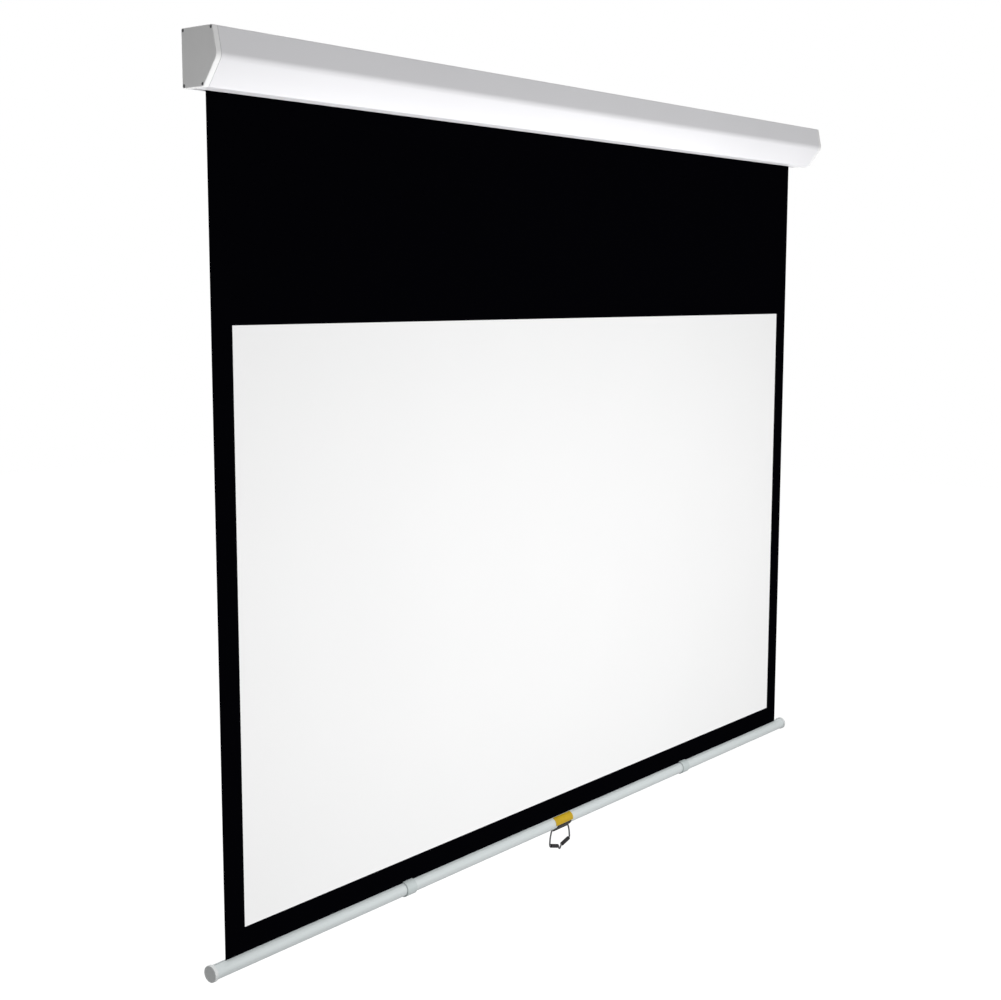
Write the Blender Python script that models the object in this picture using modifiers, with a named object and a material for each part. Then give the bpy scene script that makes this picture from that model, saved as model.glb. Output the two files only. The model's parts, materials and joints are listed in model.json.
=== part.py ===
# Pull-down projector screen: a wall-hung casing, a spring roller inside it, the cloth that
# comes off the roller, and the round bottom bar with its pull handle.
# Metres, +Z up. The viewer stands on the -Y side and the wall is the plane y = 0.
# The origin is midway between the two wall brackets, on the wall.
# The screen is modelled pulled right down.

import math

import bmesh
import bpy
from mathutils import Vector

# Picture and cloth
PICTURE_WIDTH = 2.034
PICTURE_SHAPE = 16 / 9
BORDER = 0.050
DROP = 0.411
CLOTH_THICKNESS = 0.0004
COATING_THICKNESS = 0.0003

# Clearances
SEAT_GAP = 0.0003
RUNNING_GAP = 0.0004
CUT_PAST = 0.004

# Casing section, measured from its back
CASING_HEIGHT = 0.102
VERTEX_HEIGHT = 0.0495
TOP_DEPTH = 0.0803
VERTEX_DEPTH = 0.0909
BOTTOM_DEPTH = 0.0545
CASING_WALL = 0.0016
BACK_CORNER_RADIUS = 0.003
FRONT_CORNER_RADIUS = 0.004
VERTEX_RADIUS = 0.020
CASING_BOTTOM_Z = -0.061
CLOTH_FROM_BACK = 0.0115
SLOT_FRONT_ROOM = 0.0075
SLOT_LIP_HEIGHT = 0.005
END_ROOM = 0.0425

# Screw ports of the casing and the screws in them
PORT_NAMES = ("low_back", "top_back", "top_front", "low_front")
PORT_INSET = 0.0044
PORT_RADIUS = 0.0032
PORT_BORE_RADIUS = 0.0016
PORT_SLIT = 0.0014
SCREW_RADIUS = 0.0012
SCREW_HEAD_RADIUS = 0.0029
SCREW_HEAD_HEIGHT = 0.0016
SCREW_REACH = 0.014

# End caps and the steel plates behind them
CAP_DEPTH = 0.012
CAP_FACE = 0.0032
CAP_SKIRT = 0.0022
CAP_ROUNDING = 0.0018
CAP_RIB = 0.0016
PLATE_THICKNESS = 0.0025

# Rails on the casing's back, and the wall brackets that hold them
WALL_STANDOFF = 0.010
RAIL_WALL = 0.0016
RAIL_REACH = 0.0056
RAIL_LIP = 0.007
UPPER_RAIL_FROM_TOP = 0.012
LOWER_RAIL_FROM_BOTTOM = 0.014
BRACKET_FROM_END = 0.3595
BRACKET_WIDTH = 0.050
BRACKET_STEEL = 0.0025
BRACKET_SLOT_WIDTH = 0.0055
BRACKET_SLOT_LENGTH = 0.012
BRACKET_SLOT_SPACING = 0.036
LOCK_SCREW_RADIUS = 0.0015
LOCK_SCREW_LENGTH = 0.009
LOCK_HEAD_HEIGHT = 0.0024

# Roller
ROLLER_RADIUS = 0.022
ROLLER_WALL = 0.0012
ROLLER_OVERHANG = 0.003
GROOVE_WIDTH = 0.007
GROOVE_DEPTH = 0.003
WRAP_TURNS = 2.75
WRAP_GAP = 0.00045
FIRST_WRAP_GAP = 0.0005
WRAP_STEPS = 20

# Spring end
SPINDLE_RADIUS = 0.004
TANG_THICKNESS = 0.0045
TANG_LENGTH = 0.007
TANG_INSET = 0.0075
FLANGE_THICKNESS = 0.004
PLUG_LENGTH = 0.040
PLUG_HUB_RADIUS = 0.010
RATCHET_RADIUS = 0.0095
RATCHET_WIDTH = 0.0040
NOTCH_DEPTH = 0.0028
NOTCH_RAMP = math.radians(52)
PAWL_PIVOT_RADIUS = 0.0155
PAWL_REACH_ANGLE = math.radians(44)
PAWL_EYE_RADIUS = 0.0032
PAWL_NOSE_RADIUS = 0.0010
PAWL_WIDTH = 0.0042
PAWL_PIN_RADIUS = 0.0015
PAWL_SWING = math.radians(16)
SPRING_WIRE_RADIUS = 0.0011
SPRING_RADIUS = 0.0130
SPRING_TURNS = 16
SPRING_PITCH = 0.0130
SPRING_POINTS = 8
ANCHOR_THICKNESS = 0.012

# Damper end
DAMPER_LENGTH = 0.090
DAMPER_WALL = 0.003
ROTOR_LENGTH = 0.060
ROTOR_GROOVES = 2
ROTOR_GROOVE_DEPTH = 0.0012
LID_THICKNESS = 0.005

# Bottom bar
BAR_RADIUS = 0.0145
BAR_WALL = 0.0013
BAR_END_INSET = 0.0035
HEM_SLOT = 0.0024
HEM_CHANNEL_RADIUS = 0.0043
HEM_CHANNEL_WALL = 0.0011
HEM_ROD_RADIUS = 0.0028
BAR_CAP_RADIUS = 0.0165
BAR_CAP_THICKNESS = 0.008
BAR_CAP_ROUNDING = 0.0014
BAR_CAP_SPIGOT = 0.018
COLLAR_RADIUS = 0.017
COLLAR_WIDTH = 0.030
COLLAR_ROUNDING = 0.001
COLLAR_SPLIT = 0.0016

# Handle
MARKER_WIDTH = 0.069
MARKER_THICKNESS = 0.0003
MARKER_TOP = math.radians(104)
MARKER_BOTTOM = math.radians(193)
CLASP_WIDTH = 0.054
CLASP_THICKNESS = 0.0020
CLASP_HALF_ANGLE = math.radians(74)
CLASP_SKIN = 0.0008
BARREL_WALL = 0.0010
CLASP_SCREW_SPACING = 0.036
CLASP_SCREW_ANGLE = math.radians(-42)
CLASP_SCREW_RADIUS = 0.0013
CLASP_SCREW_HEAD_RADIUS = 0.0026
CLASP_SCREW_HEAD_HEIGHT = 0.0015
CLASP_SCREW_REACH = 0.006
HANDLE_WIRE_RADIUS = 0.0020
HANDLE_SHOULDER = 0.0325
HANDLE_WAIST = 0.0385
HANDLE_WAIST_DROP = 0.015
HANDLE_HALF_WIDTH = 0.0405
HANDLE_SIDE_DROP = 0.0355
HANDLE_KNEE = 0.0062
HANDLE_KNEE_DROP = 0.0455
HANDLE_TIP_DROP = 0.0560
HANDLE_SHOULDER_BEND = 0.0055
HANDLE_WAIST_BEND = 0.060
HANDLE_CORNER_BEND = 0.004
HANDLE_TIP_BEND = 0.0028
HANDLE_END_GAP = 0.002
GRIP_RADIUS = 0.0047
GRIP_FROM_CORNER = 0.0036
GRIP_FROM_KNEE = 0.0015

# Places that follow from the sizes above
PICTURE_HEIGHT = PICTURE_WIDTH / PICTURE_SHAPE
CLOTH_WIDTH = PICTURE_WIDTH + 2 * BORDER
CASING_HALF = CLOTH_WIDTH / 2 + END_ROOM
EXTRUSION_HALF = CASING_HALF - CAP_DEPTH - SEAT_GAP
CASING_TOP_Z = CASING_BOTTOM_Z + CASING_HEIGHT
CASING_BACK_Y = -WALL_STANDOFF
BRACKET_X = CASING_HALF - BRACKET_FROM_END
CLOTH_Y = CASING_BACK_Y - CLOTH_FROM_BACK
WRAP_PITCH = CLOTH_THICKNESS + WRAP_GAP
WINDING_RADIUS = ROLLER_RADIUS + FIRST_WRAP_GAP + CLOTH_THICKNESS / 2 + WRAP_PITCH * WRAP_TURNS
ROLLER_Y = CLOTH_Y - WINDING_RADIUS
ROLLER_Z = (CASING_BOTTOM_Z + CASING_TOP_Z) / 2
ROLLER_HALF = CLOTH_WIDTH / 2 + ROLLER_OVERHANG
ROLLER_BORE = ROLLER_RADIUS - ROLLER_WALL
BARREL_OF_PLUG = ROLLER_BORE - SEAT_GAP
FLANGE_OUTER = ROLLER_HALF + SEAT_GAP + FLANGE_THICKNESS
TANG_END = CASING_HALF - TANG_INSET
ROD_START = TANG_END - TANG_LENGTH
PICTURE_TOP_Z = CASING_BOTTOM_Z - DROP
PICTURE_BOTTOM_Z = PICTURE_TOP_Z - PICTURE_HEIGHT
BAR_Z = PICTURE_BOTTOM_Z - BORDER - BAR_RADIUS
BAR_HALF = CASING_HALF - BAR_END_INSET
BAR_TUBE_HALF = BAR_HALF - BAR_CAP_THICKNESS
COLLAR_X = BAR_HALF / 2
HEM_Z = BAR_RADIUS - BAR_WALL - SEAT_GAP - HEM_CHANNEL_RADIUS
LOCK_SCREW_Y = CASING_BACK_Y + RAIL_REACH - LOCK_SCREW_RADIUS
LOCK_HEAD_RADIUS = min(-LOCK_SCREW_Y - BRACKET_STEEL, LOCK_SCREW_Y - CASING_BACK_Y) - 2 * SEAT_GAP
HANDLE_BORE = HANDLE_WIRE_RADIUS + RUNNING_GAP
HANDLE_DROP = BAR_RADIUS + SEAT_GAP + CLASP_SKIN + HANDLE_BORE
PAWL_X = -(FLANGE_OUTER + RUNNING_GAP + PAWL_WIDTH / 2)
TRAVEL = CASING_BOTTOM_Z - SEAT_GAP - COLLAR_RADIUS - BAR_Z

# Finishes: colour, roughness, metallic
FINISHES = {
    "white_enamel": ((0.78, 0.78, 0.79), 0.38, 0.0),
    "cap_plastic": ((0.70, 0.70, 0.70), 0.50, 0.0),
    "dark_steel": ((0.08, 0.08, 0.085), 0.45, 0.8),
    "zinc_steel": ((0.58, 0.59, 0.60), 0.35, 1.0),
    "mill_aluminium": ((0.72, 0.73, 0.74), 0.35, 1.0),
    "spring_steel": ((0.30, 0.30, 0.31), 0.35, 1.0),
    "nylon": ((0.82, 0.81, 0.76), 0.55, 0.0),
    "black_cloth": ((0.006, 0.006, 0.008), 0.85, 0.0),
    "matte_white": ((0.92, 0.92, 0.92), 0.90, 0.0),
    "bar_enamel": ((0.62, 0.65, 0.66), 0.42, 0.0),
    "bar_plastic": ((0.55, 0.56, 0.56), 0.50, 0.0),
    "marker_yellow": ((0.62, 0.38, 0.04), 0.45, 0.0),
    "handle_wire": ((0.10, 0.10, 0.10), 0.40, 0.6),
    "handle_rubber": ((0.025, 0.024, 0.025), 0.70, 0.0),
}


def clear_scene():
    for old in list(bpy.data.objects):
        bpy.data.objects.remove(old, do_unlink=True)


def new_collection(name):
    made = bpy.data.collections.new(name)
    bpy.context.scene.collection.children.link(made)
    return made


def finish_of(name):
    made = bpy.data.materials.get(name)
    if made:
        return made
    colour, roughness, metallic = FINISHES[name]
    made = bpy.data.materials.new(name)
    made.use_nodes = True
    shader = made.node_tree.nodes["Principled BSDF"]
    shader.inputs["Base Color"].default_value = (*colour, 1.0)
    shader.inputs["Roughness"].default_value = roughness
    shader.inputs["Metallic"].default_value = metallic
    return made


def joint_empty(name, location, parent=None):
    """An empty on a joint's axis, which carries the pieces that move on it."""
    made = bpy.data.objects.new(name, None)
    made.empty_display_size = 0.02
    PARTS.objects.link(made)
    made.parent = parent
    made.location = location
    return made


def add_part(obj, name, finish, parent=None):
    obj.name = name
    obj.data.name = name
    obj.data.materials.clear()
    obj.data.materials.append(finish_of(finish))
    PARTS.objects.link(obj)
    obj.parent = parent
    return obj


def as_cutter(obj, name, parent=None):
    obj.name = name
    obj.display_type = "WIRE"
    obj.hide_render = True
    CUTTERS.objects.link(obj)
    obj.parent = parent
    return obj


def boolean(target, other, operation):
    step = target.modifiers.new(operation.lower() + "_" + other.name, "BOOLEAN")
    step.operation = operation
    step.solver = "EXACT"
    step.object = other


def settle(obj):
    """Applies an object's modifiers, so that edges of the result can be chosen."""
    bpy.context.view_layer.update()
    graph = bpy.context.evaluated_depsgraph_get()
    mesh = bpy.data.meshes.new_from_object(obj.evaluated_get(graph))
    obj.modifiers.clear()
    obj.data = mesh


def shade_round(mesh, sharp_degrees=35):
    mesh.shade_smooth()
    mesh.set_sharp_from_angle(angle=math.radians(sharp_degrees))


def arc(centre, radius, start, end, steps):
    """Points on a circle from one angle to another, both ends included."""
    return [
        (
            centre[0] + radius * math.cos(start + (end - start) * k / steps),
            centre[1] + radius * math.sin(start + (end - start) * k / steps),
        )
        for k in range(steps + 1)
    ]


def circle(centre, radius, steps):
    return arc(centre, radius, 0.0, 2 * math.pi * (1 - 1 / steps), steps - 1)


def rectangle(low, high):
    return [(low[0], low[1]), (high[0], low[1]), (high[0], high[1]), (low[0], high[1])]


def inset(corners, distance):
    """Corners (y, z, radius) of a convex outline, given anticlockwise, with each side moved in."""
    moved = []
    count = len(corners)
    for k, (y, z, radius) in enumerate(corners):
        before = Vector(corners[k - 1][:2])
        here = Vector((y, z))
        after = Vector(corners[(k + 1) % count][:2])
        d_in = (here - before).normalized()
        d_out = (after - here).normalized()
        n_in = Vector((-d_in.y, d_in.x))
        n_out = Vector((-d_out.y, d_out.x))
        place = here + (n_in + n_out) * (distance / (1 + n_in.dot(n_out)))
        moved.append((place.x, place.y, max(radius - distance, 0.0004)))
    return moved


def rounded(corners, step_angle=math.radians(24)):
    """The outline of (y, z, radius) corners, given anticlockwise, with each corner an arc."""
    outline = []
    count = len(corners)
    for k, (y, z, radius) in enumerate(corners):
        before = Vector(corners[k - 1][:2])
        here = Vector((y, z))
        after = Vector(corners[(k + 1) % count][:2])
        to_before = (before - here).normalized()
        to_after = (after - here).normalized()
        half = to_before.angle(to_after) / 2
        centre = here + (to_before + to_after).normalized() * (radius / math.sin(half))
        turn = math.pi - 2 * half
        first = math.atan2(*reversed(here + to_before * (radius / math.tan(half)) - centre))
        steps = max(2, math.ceil(turn / step_angle))
        outline += arc(centre, radius, first, first + turn, steps)
    return outline


def casing_corners():
    """The casing's outline in (y, z), anticlockwise seen from +X, from its lower back corner."""
    back, bottom, top = CASING_BACK_Y, CASING_BOTTOM_Z, CASING_TOP_Z
    return [
        (back, bottom, BACK_CORNER_RADIUS),
        (back, top, BACK_CORNER_RADIUS),
        (back - TOP_DEPTH, top, FRONT_CORNER_RADIUS),
        (back - VERTEX_DEPTH, bottom + VERTEX_HEIGHT, VERTEX_RADIUS),
        (back - BOTTOM_DEPTH, bottom, FRONT_CORNER_RADIUS),
    ]


def port_places():
    """The four screw places: the corners of the inset outline, the front vertex left out."""
    places = [(y, z) for y, z, _ in inset(casing_corners(), PORT_INSET)]
    return [places[0], places[1], places[2], places[4]]


def outline_curve(loops, half_length):
    """A filled flat outline with its holes, and its thickness, as a 2D curve object."""
    data = bpy.data.curves.new("outline", "CURVE")
    data.dimensions = "2D"
    data.fill_mode = "BOTH"
    data.extrude = half_length
    for loop in loops:
        spline = data.splines.new("POLY")
        spline.points.add(len(loop) - 1)
        for point, (a, b) in zip(spline.points, loop):
            point.co = (a, b, 0.0, 1.0)
        spline.use_cyclic_u = True
    return bpy.data.objects.new("outline", data)


def closed_mesh(curve):
    """The curve as a mesh object whose caps are welded to its sides."""
    bpy.context.scene.collection.objects.link(curve)
    bpy.context.view_layer.update()
    graph = bpy.context.evaluated_depsgraph_get()
    mesh = bpy.data.meshes.new_from_object(curve.evaluated_get(graph))
    shape = bmesh.new()
    shape.from_mesh(mesh)
    bmesh.ops.remove_doubles(shape, verts=shape.verts, dist=1e-6)
    bmesh.ops.recalc_face_normals(shape, faces=shape.faces)
    shape.to_mesh(mesh)
    shape.free()
    made = bpy.data.objects.new(curve.name, mesh)
    made.matrix_world = curve.matrix_world
    bpy.data.objects.remove(curve)
    shade_round(mesh)
    return made


def bar_along_x(loops, x_from, x_to):
    """A prism along X between two stations. Its outline is in (y, z) round the parent's origin."""
    curve = outline_curve(loops, abs(x_to - x_from) / 2)
    curve.rotation_euler = (math.pi / 2, 0.0, math.pi / 2)
    curve.location.x = (x_from + x_to) / 2
    return closed_mesh(curve)


def box_between(low, high):
    """A box between two corners, made from the primitive cube."""
    mesh = bpy.data.meshes.new("box")
    shape = bmesh.new()
    bmesh.ops.create_cube(shape, size=1.0)
    size = [b - a for a, b in zip(low, high)]
    bmesh.ops.scale(shape, vec=size, verts=shape.verts)
    shape.to_mesh(mesh)
    shape.free()
    made = bpy.data.objects.new("box", mesh)
    made.location = [(a + b) / 2 for a, b in zip(low, high)]
    return made


def turned(profile, steps, closed=False):
    """A turned solid about X. The profile is (radius, x), run down its outer side from high x."""
    mesh = bpy.data.meshes.new("turned")
    edges = [(k, k + 1) for k in range(len(profile) - 1)]
    if closed:
        edges.append((len(profile) - 1, 0))
    mesh.from_pydata([(r, 0.0, x) for r, x in profile], edges, [])
    made = bpy.data.objects.new("turned", mesh)
    made.rotation_euler = (0.0, math.pi / 2, 0.0)
    screw = made.modifiers.new("turn", "SCREW")
    screw.steps = steps
    screw.render_steps = steps
    screw.use_merge_vertices = True
    screw.merge_threshold = 0.00001
    screw.use_smooth_shade = False
    return made


def soft_sleeve(inner, outer, low, high, soft):
    """The profile of a sleeve whose outer edges are rounded."""
    upper = arc((outer - soft, high - soft), soft, math.pi / 2, 0.0, 2)
    lower = arc((outer - soft, low + soft), soft, 0.0, -math.pi / 2, 2)
    return upper + lower + [(inner, low), (inner, high)]


def rod(radius, x_from, x_to, steps=20):
    low, high = min(x_from, x_to), max(x_from, x_to)
    return turned([(0.0, high), (radius, high), (radius, low), (0.0, low)], steps)


def ring(inner, outer, x_from, x_to, steps=20):
    low, high = min(x_from, x_to), max(x_from, x_to)
    return turned([(outer, high), (outer, low), (inner, low), (inner, high)], steps, closed=True)


def wire(points, radius, sides):
    """A round wire through points, as a mesh object. Sides is 4, 6, 8 or more, an even number."""
    data = bpy.data.curves.new("wire", "CURVE")
    data.dimensions = "3D"
    data.bevel_depth = radius
    data.bevel_resolution = (sides - 4) // 2
    data.use_fill_caps = True
    spline = data.splines.new("POLY")
    spline.points.add(len(points) - 1)
    for point, place in zip(spline.points, points):
        point.co = (*place, 1.0)
    return closed_mesh(bpy.data.objects.new("wire", data))


def fillet_path(corners, steps):
    """A path through (point, bend radius) corners, with each bend an arc. Points are Vectors."""
    path = [corners[0][0]]
    for k in range(1, len(corners) - 1):
        here, radius = corners[k]
        to_before = (corners[k - 1][0] - here).normalized()
        to_after = (corners[k + 1][0] - here).normalized()
        half = to_before.angle(to_after) / 2
        centre = here + (to_before + to_after).normalized() * (radius / math.sin(half))
        start = here + to_before * (radius / math.tan(half)) - centre
        end = here + to_after * (radius / math.tan(half)) - centre
        turn = start.angle(end)
        for j in range(steps + 1):
            share = j / steps
            a = math.sin((1 - share) * turn) / math.sin(turn)
            b = math.sin(share * turn) / math.sin(turn)
            path.append(centre + start * a + end * b)
    path.append(corners[-1][0])
    return path


def tapered_link(a, radius_a, b, radius_b, steps):
    """The outline round two circles and the straight sides that touch both."""
    a, b = Vector(a), Vector(b)
    along = b - a
    heading = math.atan2(along.y, along.x)
    lean = math.acos((radius_a - radius_b) / along.length)
    return arc(b, radius_b, heading - lean, heading + lean, steps) + arc(
        a, radius_a, heading + lean, heading + 2 * math.pi - lean, steps + 4
    )


def print_least_gap(name, points, thickness, apart):
    """Measures, on its points, how near a wound piece comes to itself some points further on."""
    spots = [Vector(p) for p in points]
    least = min(
        (spots[j] - spots[k]).length for k in range(len(spots)) for j in range(k + apart, len(spots))
    )
    print(f"{name}: least gap to itself {(least - thickness) * 1000:.2f} mm")


def put(obj, parent, y=0.0, z=0.0):
    """Moves a piece made round the origin to a place across its parent."""
    obj.parent = parent
    obj.location.y += y
    obj.location.z += z
    return obj


# Casing


def make_casing():
    corners = casing_corners()
    loops = [rounded(corners), rounded(inset(corners, CASING_WALL))]
    casing = bar_along_x(loops, -EXTRUSION_HALF, EXTRUSION_HALF)
    add_part(casing, "casing_extrusion", "white_enamel")
    cut_half = EXTRUSION_HALF + CUT_PAST

    # Screw ports in four corners, each open on one side so that it can be extruded
    middle = Vector((ROLLER_Y, ROLLER_Z))
    for k, place in enumerate(port_places()):
        port = bar_along_x([circle(place, PORT_RADIUS, 12)], -EXTRUSION_HALF, EXTRUSION_HALF)
        boolean(casing, as_cutter(port, f"port_{k}"), "UNION")
    for k, place in enumerate(port_places()):
        bore = bar_along_x([circle(place, PORT_BORE_RADIUS, 10)], -cut_half, cut_half)
        boolean(casing, as_cutter(bore, f"port_bore_{k}"), "DIFFERENCE")
        inward = (middle - Vector(place)).normalized()
        across = Vector((-inward.y, inward.x)) * (PORT_SLIT / 2)
        start, end = Vector(place), Vector(place) + inward * (PORT_RADIUS + SEAT_GAP)
        slit_outline = [tuple(p) for p in (start - across, end - across, end + across, start + across)]
        slit = bar_along_x([slit_outline], -cut_half, cut_half)
        boolean(casing, as_cutter(slit, f"port_slit_{k}"), "DIFFERENCE")

    # Rails on the back: a hooked one above and a plain one below
    for k, loop in enumerate((upper_rail_outline(), lower_rail_outline())):
        rail = bar_along_x([loop], -EXTRUSION_HALF, EXTRUSION_HALF)
        boolean(casing, as_cutter(rail, f"back_rail_{k}"), "UNION")

    # The stiffening lip in front of the cloth slot, and the slot itself
    front_edge = CLOTH_Y - SLOT_FRONT_ROOM
    floor = CASING_BOTTOM_Z + CASING_WALL / 2
    lip_top = CASING_BOTTOM_Z + CASING_WALL + SLOT_LIP_HEIGHT
    lip_loop = rectangle((front_edge - CASING_WALL, floor), (front_edge, lip_top))
    lip = bar_along_x([lip_loop], -EXTRUSION_HALF, EXTRUSION_HALF)
    boolean(casing, as_cutter(lip, "slot_lip"), "UNION")
    rear_edge = CASING_BACK_Y - PORT_INSET - PORT_RADIUS - SEAT_GAP / 2
    slot_low = (-cut_half, front_edge, CASING_BOTTOM_Z - CUT_PAST)
    slot_high = (cut_half, rear_edge, CASING_BOTTOM_Z + CASING_WALL + SLOT_LIP_HEIGHT / 2)
    boolean(casing, as_cutter(box_between(slot_low, slot_high), "cloth_slot"), "DIFFERENCE")
    return casing


def upper_rail_outline():
    top = CASING_TOP_Z - UPPER_RAIL_FROM_TOP
    root = CASING_BACK_Y - CASING_WALL / 2
    tip = CASING_BACK_Y + RAIL_REACH
    under = top - RAIL_WALL
    lip_inside = tip - RAIL_WALL
    return [
        (root, under),
        (lip_inside, under),
        (lip_inside, top - RAIL_LIP),
        (tip, top - RAIL_LIP),
        (tip, top),
        (root, top),
    ]


def lower_rail_outline():
    bottom = CASING_BOTTOM_Z + LOWER_RAIL_FROM_BOTTOM
    root = CASING_BACK_Y - CASING_WALL / 2
    return rectangle((root, bottom), (CASING_BACK_Y + RAIL_REACH, bottom + RAIL_WALL))


def make_end_cap(side, name):
    """A moulded cap: a face with a rounded rim, a skirt, four screw bosses and stiffening ribs."""
    corners = casing_corners()
    outer = side * CASING_HALF
    mouth = side * (CASING_HALF - CAP_DEPTH)
    inside = side * (CASING_HALF - CAP_FACE)
    past = side * (CASING_HALF - CAP_DEPTH - CUT_PAST)
    cap = bar_along_x([rounded(corners)], mouth, outer)
    soften_rim(cap, outer, CAP_ROUNDING)
    add_part(cap, name, "cap_plastic")
    hollow = bar_along_x([rounded(inset(corners, CAP_SKIRT))], inside, past)
    boolean(cap, as_cutter(hollow, name + "_hollow"), "DIFFERENCE")

    boss_end = side * (CASING_HALF - CAP_DEPTH + PLATE_THICKNESS + SEAT_GAP)
    face_middle = side * (CASING_HALF - CAP_FACE / 2)
    for k, place in enumerate(port_places()):
        boss = bar_along_x([circle(place, PORT_RADIUS, 12)], face_middle, boss_end)
        boolean(cap, as_cutter(boss, f"{name}_boss_{k}"), "UNION")
    rib_low = CASING_BOTTOM_Z + CAP_SKIRT / 2
    rib_high = CASING_TOP_Z - CAP_SKIRT / 2
    rib_end = boss_end + side * SEAT_GAP
    for k, turn in enumerate((-1, 1)):
        middle = ROLLER_Y + turn * (SPINDLE_RADIUS + TANG_THICKNESS)
        rib = bar_along_x(
            [rectangle((middle - CAP_RIB / 2, rib_low), (middle + CAP_RIB / 2, rib_high))],
            face_middle,
            rib_end,
        )
        boolean(cap, as_cutter(rib, f"{name}_rib_{k}"), "UNION")
    for k, place in enumerate(port_places()):
        bore = bar_along_x([circle(place, SCREW_RADIUS + SEAT_GAP, 10)], past, outer + side * CUT_PAST)
        boolean(cap, as_cutter(bore, f"{name}_screw_hole_{k}"), "DIFFERENCE")
        seat_depth = side * (CASING_HALF - SCREW_HEAD_HEIGHT - SEAT_GAP)
        seat = bar_along_x(
            [circle(place, SCREW_HEAD_RADIUS + SEAT_GAP, 14)], seat_depth, outer + side * CUT_PAST
        )
        boolean(cap, as_cutter(seat, f"{name}_head_seat_{k}"), "DIFFERENCE")
    return cap


def soften_rim(obj, x_place, radius):
    """Rounds the edges of the end face of a prism along X."""
    mesh = obj.data
    shape = bmesh.new()
    shape.from_mesh(mesh)
    local = (x_place - obj.location.x) if obj.rotation_euler.x else x_place
    rim = [
        e
        for e in shape.edges
        if all(abs(v.co.z - local) < 1e-5 for v in e.verts)
        and any(abs(f.normal.z) < 0.5 for f in e.link_faces)
    ]
    bmesh.ops.bevel(
        shape, geom=rim, offset=radius, segments=2, affect="EDGES", profile=0.5, clamp_overlap=True
    )
    shape.to_mesh(mesh)
    shape.free()
    shade_round(mesh)


def make_cap_screws(side, name):
    """Four screws through the cap and plate into the casing's ports."""
    head_top = side * (CASING_HALF - SEAT_GAP / 2)
    head_under = head_top - side * SCREW_HEAD_HEIGHT
    tip = head_under - side * (CAP_DEPTH + SCREW_REACH)
    profile = [
        (0.0, head_top),
        (SCREW_HEAD_RADIUS * 0.7, head_top),
        (SCREW_HEAD_RADIUS, head_top - side * SCREW_HEAD_HEIGHT * 0.4),
        (SCREW_HEAD_RADIUS, head_under),
        (SCREW_RADIUS, head_under),
        (SCREW_RADIUS, tip + side * SCREW_RADIUS),
        (0.0, tip),
    ]
    if side < 0:
        profile.reverse()
    for port, (y, z) in zip(PORT_NAMES, port_places()):
        add_part(put(turned(profile, 12), None, y, z), f"{name}_{port}", "dark_steel")


def make_shaft_plate(side, name):
    """The steel plate inside a cap, with a slot that keeps the shaft's flat tang from turning."""
    plate_outline = rounded(inset(casing_corners(), CAP_SKIRT + SEAT_GAP))
    inner = side * (CASING_HALF - CAP_DEPTH)
    plate = bar_along_x([plate_outline], inner, inner + side * PLATE_THICKNESS)
    add_part(plate, name, "zinc_steel")
    half_y = TANG_THICKNESS / 2 + SEAT_GAP
    half_z = SPINDLE_RADIUS + SEAT_GAP
    low = (min(inner, inner + side * PLATE_THICKNESS) - CUT_PAST, ROLLER_Y - half_y, ROLLER_Z - half_z)
    high = (max(inner, inner + side * PLATE_THICKNESS) + CUT_PAST, ROLLER_Y + half_y, ROLLER_Z + half_z)
    boolean(plate, as_cutter(box_between(low, high), name + "_tang_slot"), "DIFFERENCE")
    for k, place in enumerate(port_places()):
        bore = bar_along_x(
            [circle(place, SCREW_RADIUS + SEAT_GAP, 10)], inner - CUT_PAST, inner + CUT_PAST
        )
        boolean(plate, as_cutter(bore, f"{name}_hole_{k}"), "DIFFERENCE")
    return plate


def bracket_outline():
    """The wall bracket's folded section: wall plate, upper arm with its tongue, lower arm."""
    steel = BRACKET_STEEL
    lip_bottom = CASING_TOP_Z - UPPER_RAIL_FROM_TOP - RAIL_LIP
    arm_top = lip_bottom - SEAT_GAP
    tongue_top = CASING_TOP_Z - UPPER_RAIL_FROM_TOP - RAIL_WALL - SEAT_GAP
    front = CASING_BACK_Y + SEAT_GAP
    lower_top = CASING_BOTTOM_Z + LOWER_RAIL_FROM_BOTTOM - SEAT_GAP
    lower_bottom = lower_top - steel
    return [
        (0.0, lower_bottom),
        (0.0, arm_top),
        (front + steel, arm_top),
        (front + steel, tongue_top),
        (front, tongue_top),
        (front, arm_top - steel),
        (-steel, arm_top - steel),
        (-steel, lower_top),
        (front, lower_top),
        (front, lower_bottom),
    ]


def bracket_slot_places():
    middle = (CASING_TOP_Z - UPPER_RAIL_FROM_TOP + CASING_BOTTOM_Z + LOWER_RAIL_FROM_BOTTOM) / 2
    return [middle - BRACKET_SLOT_SPACING / 2, middle + BRACKET_SLOT_SPACING / 2]


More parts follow.
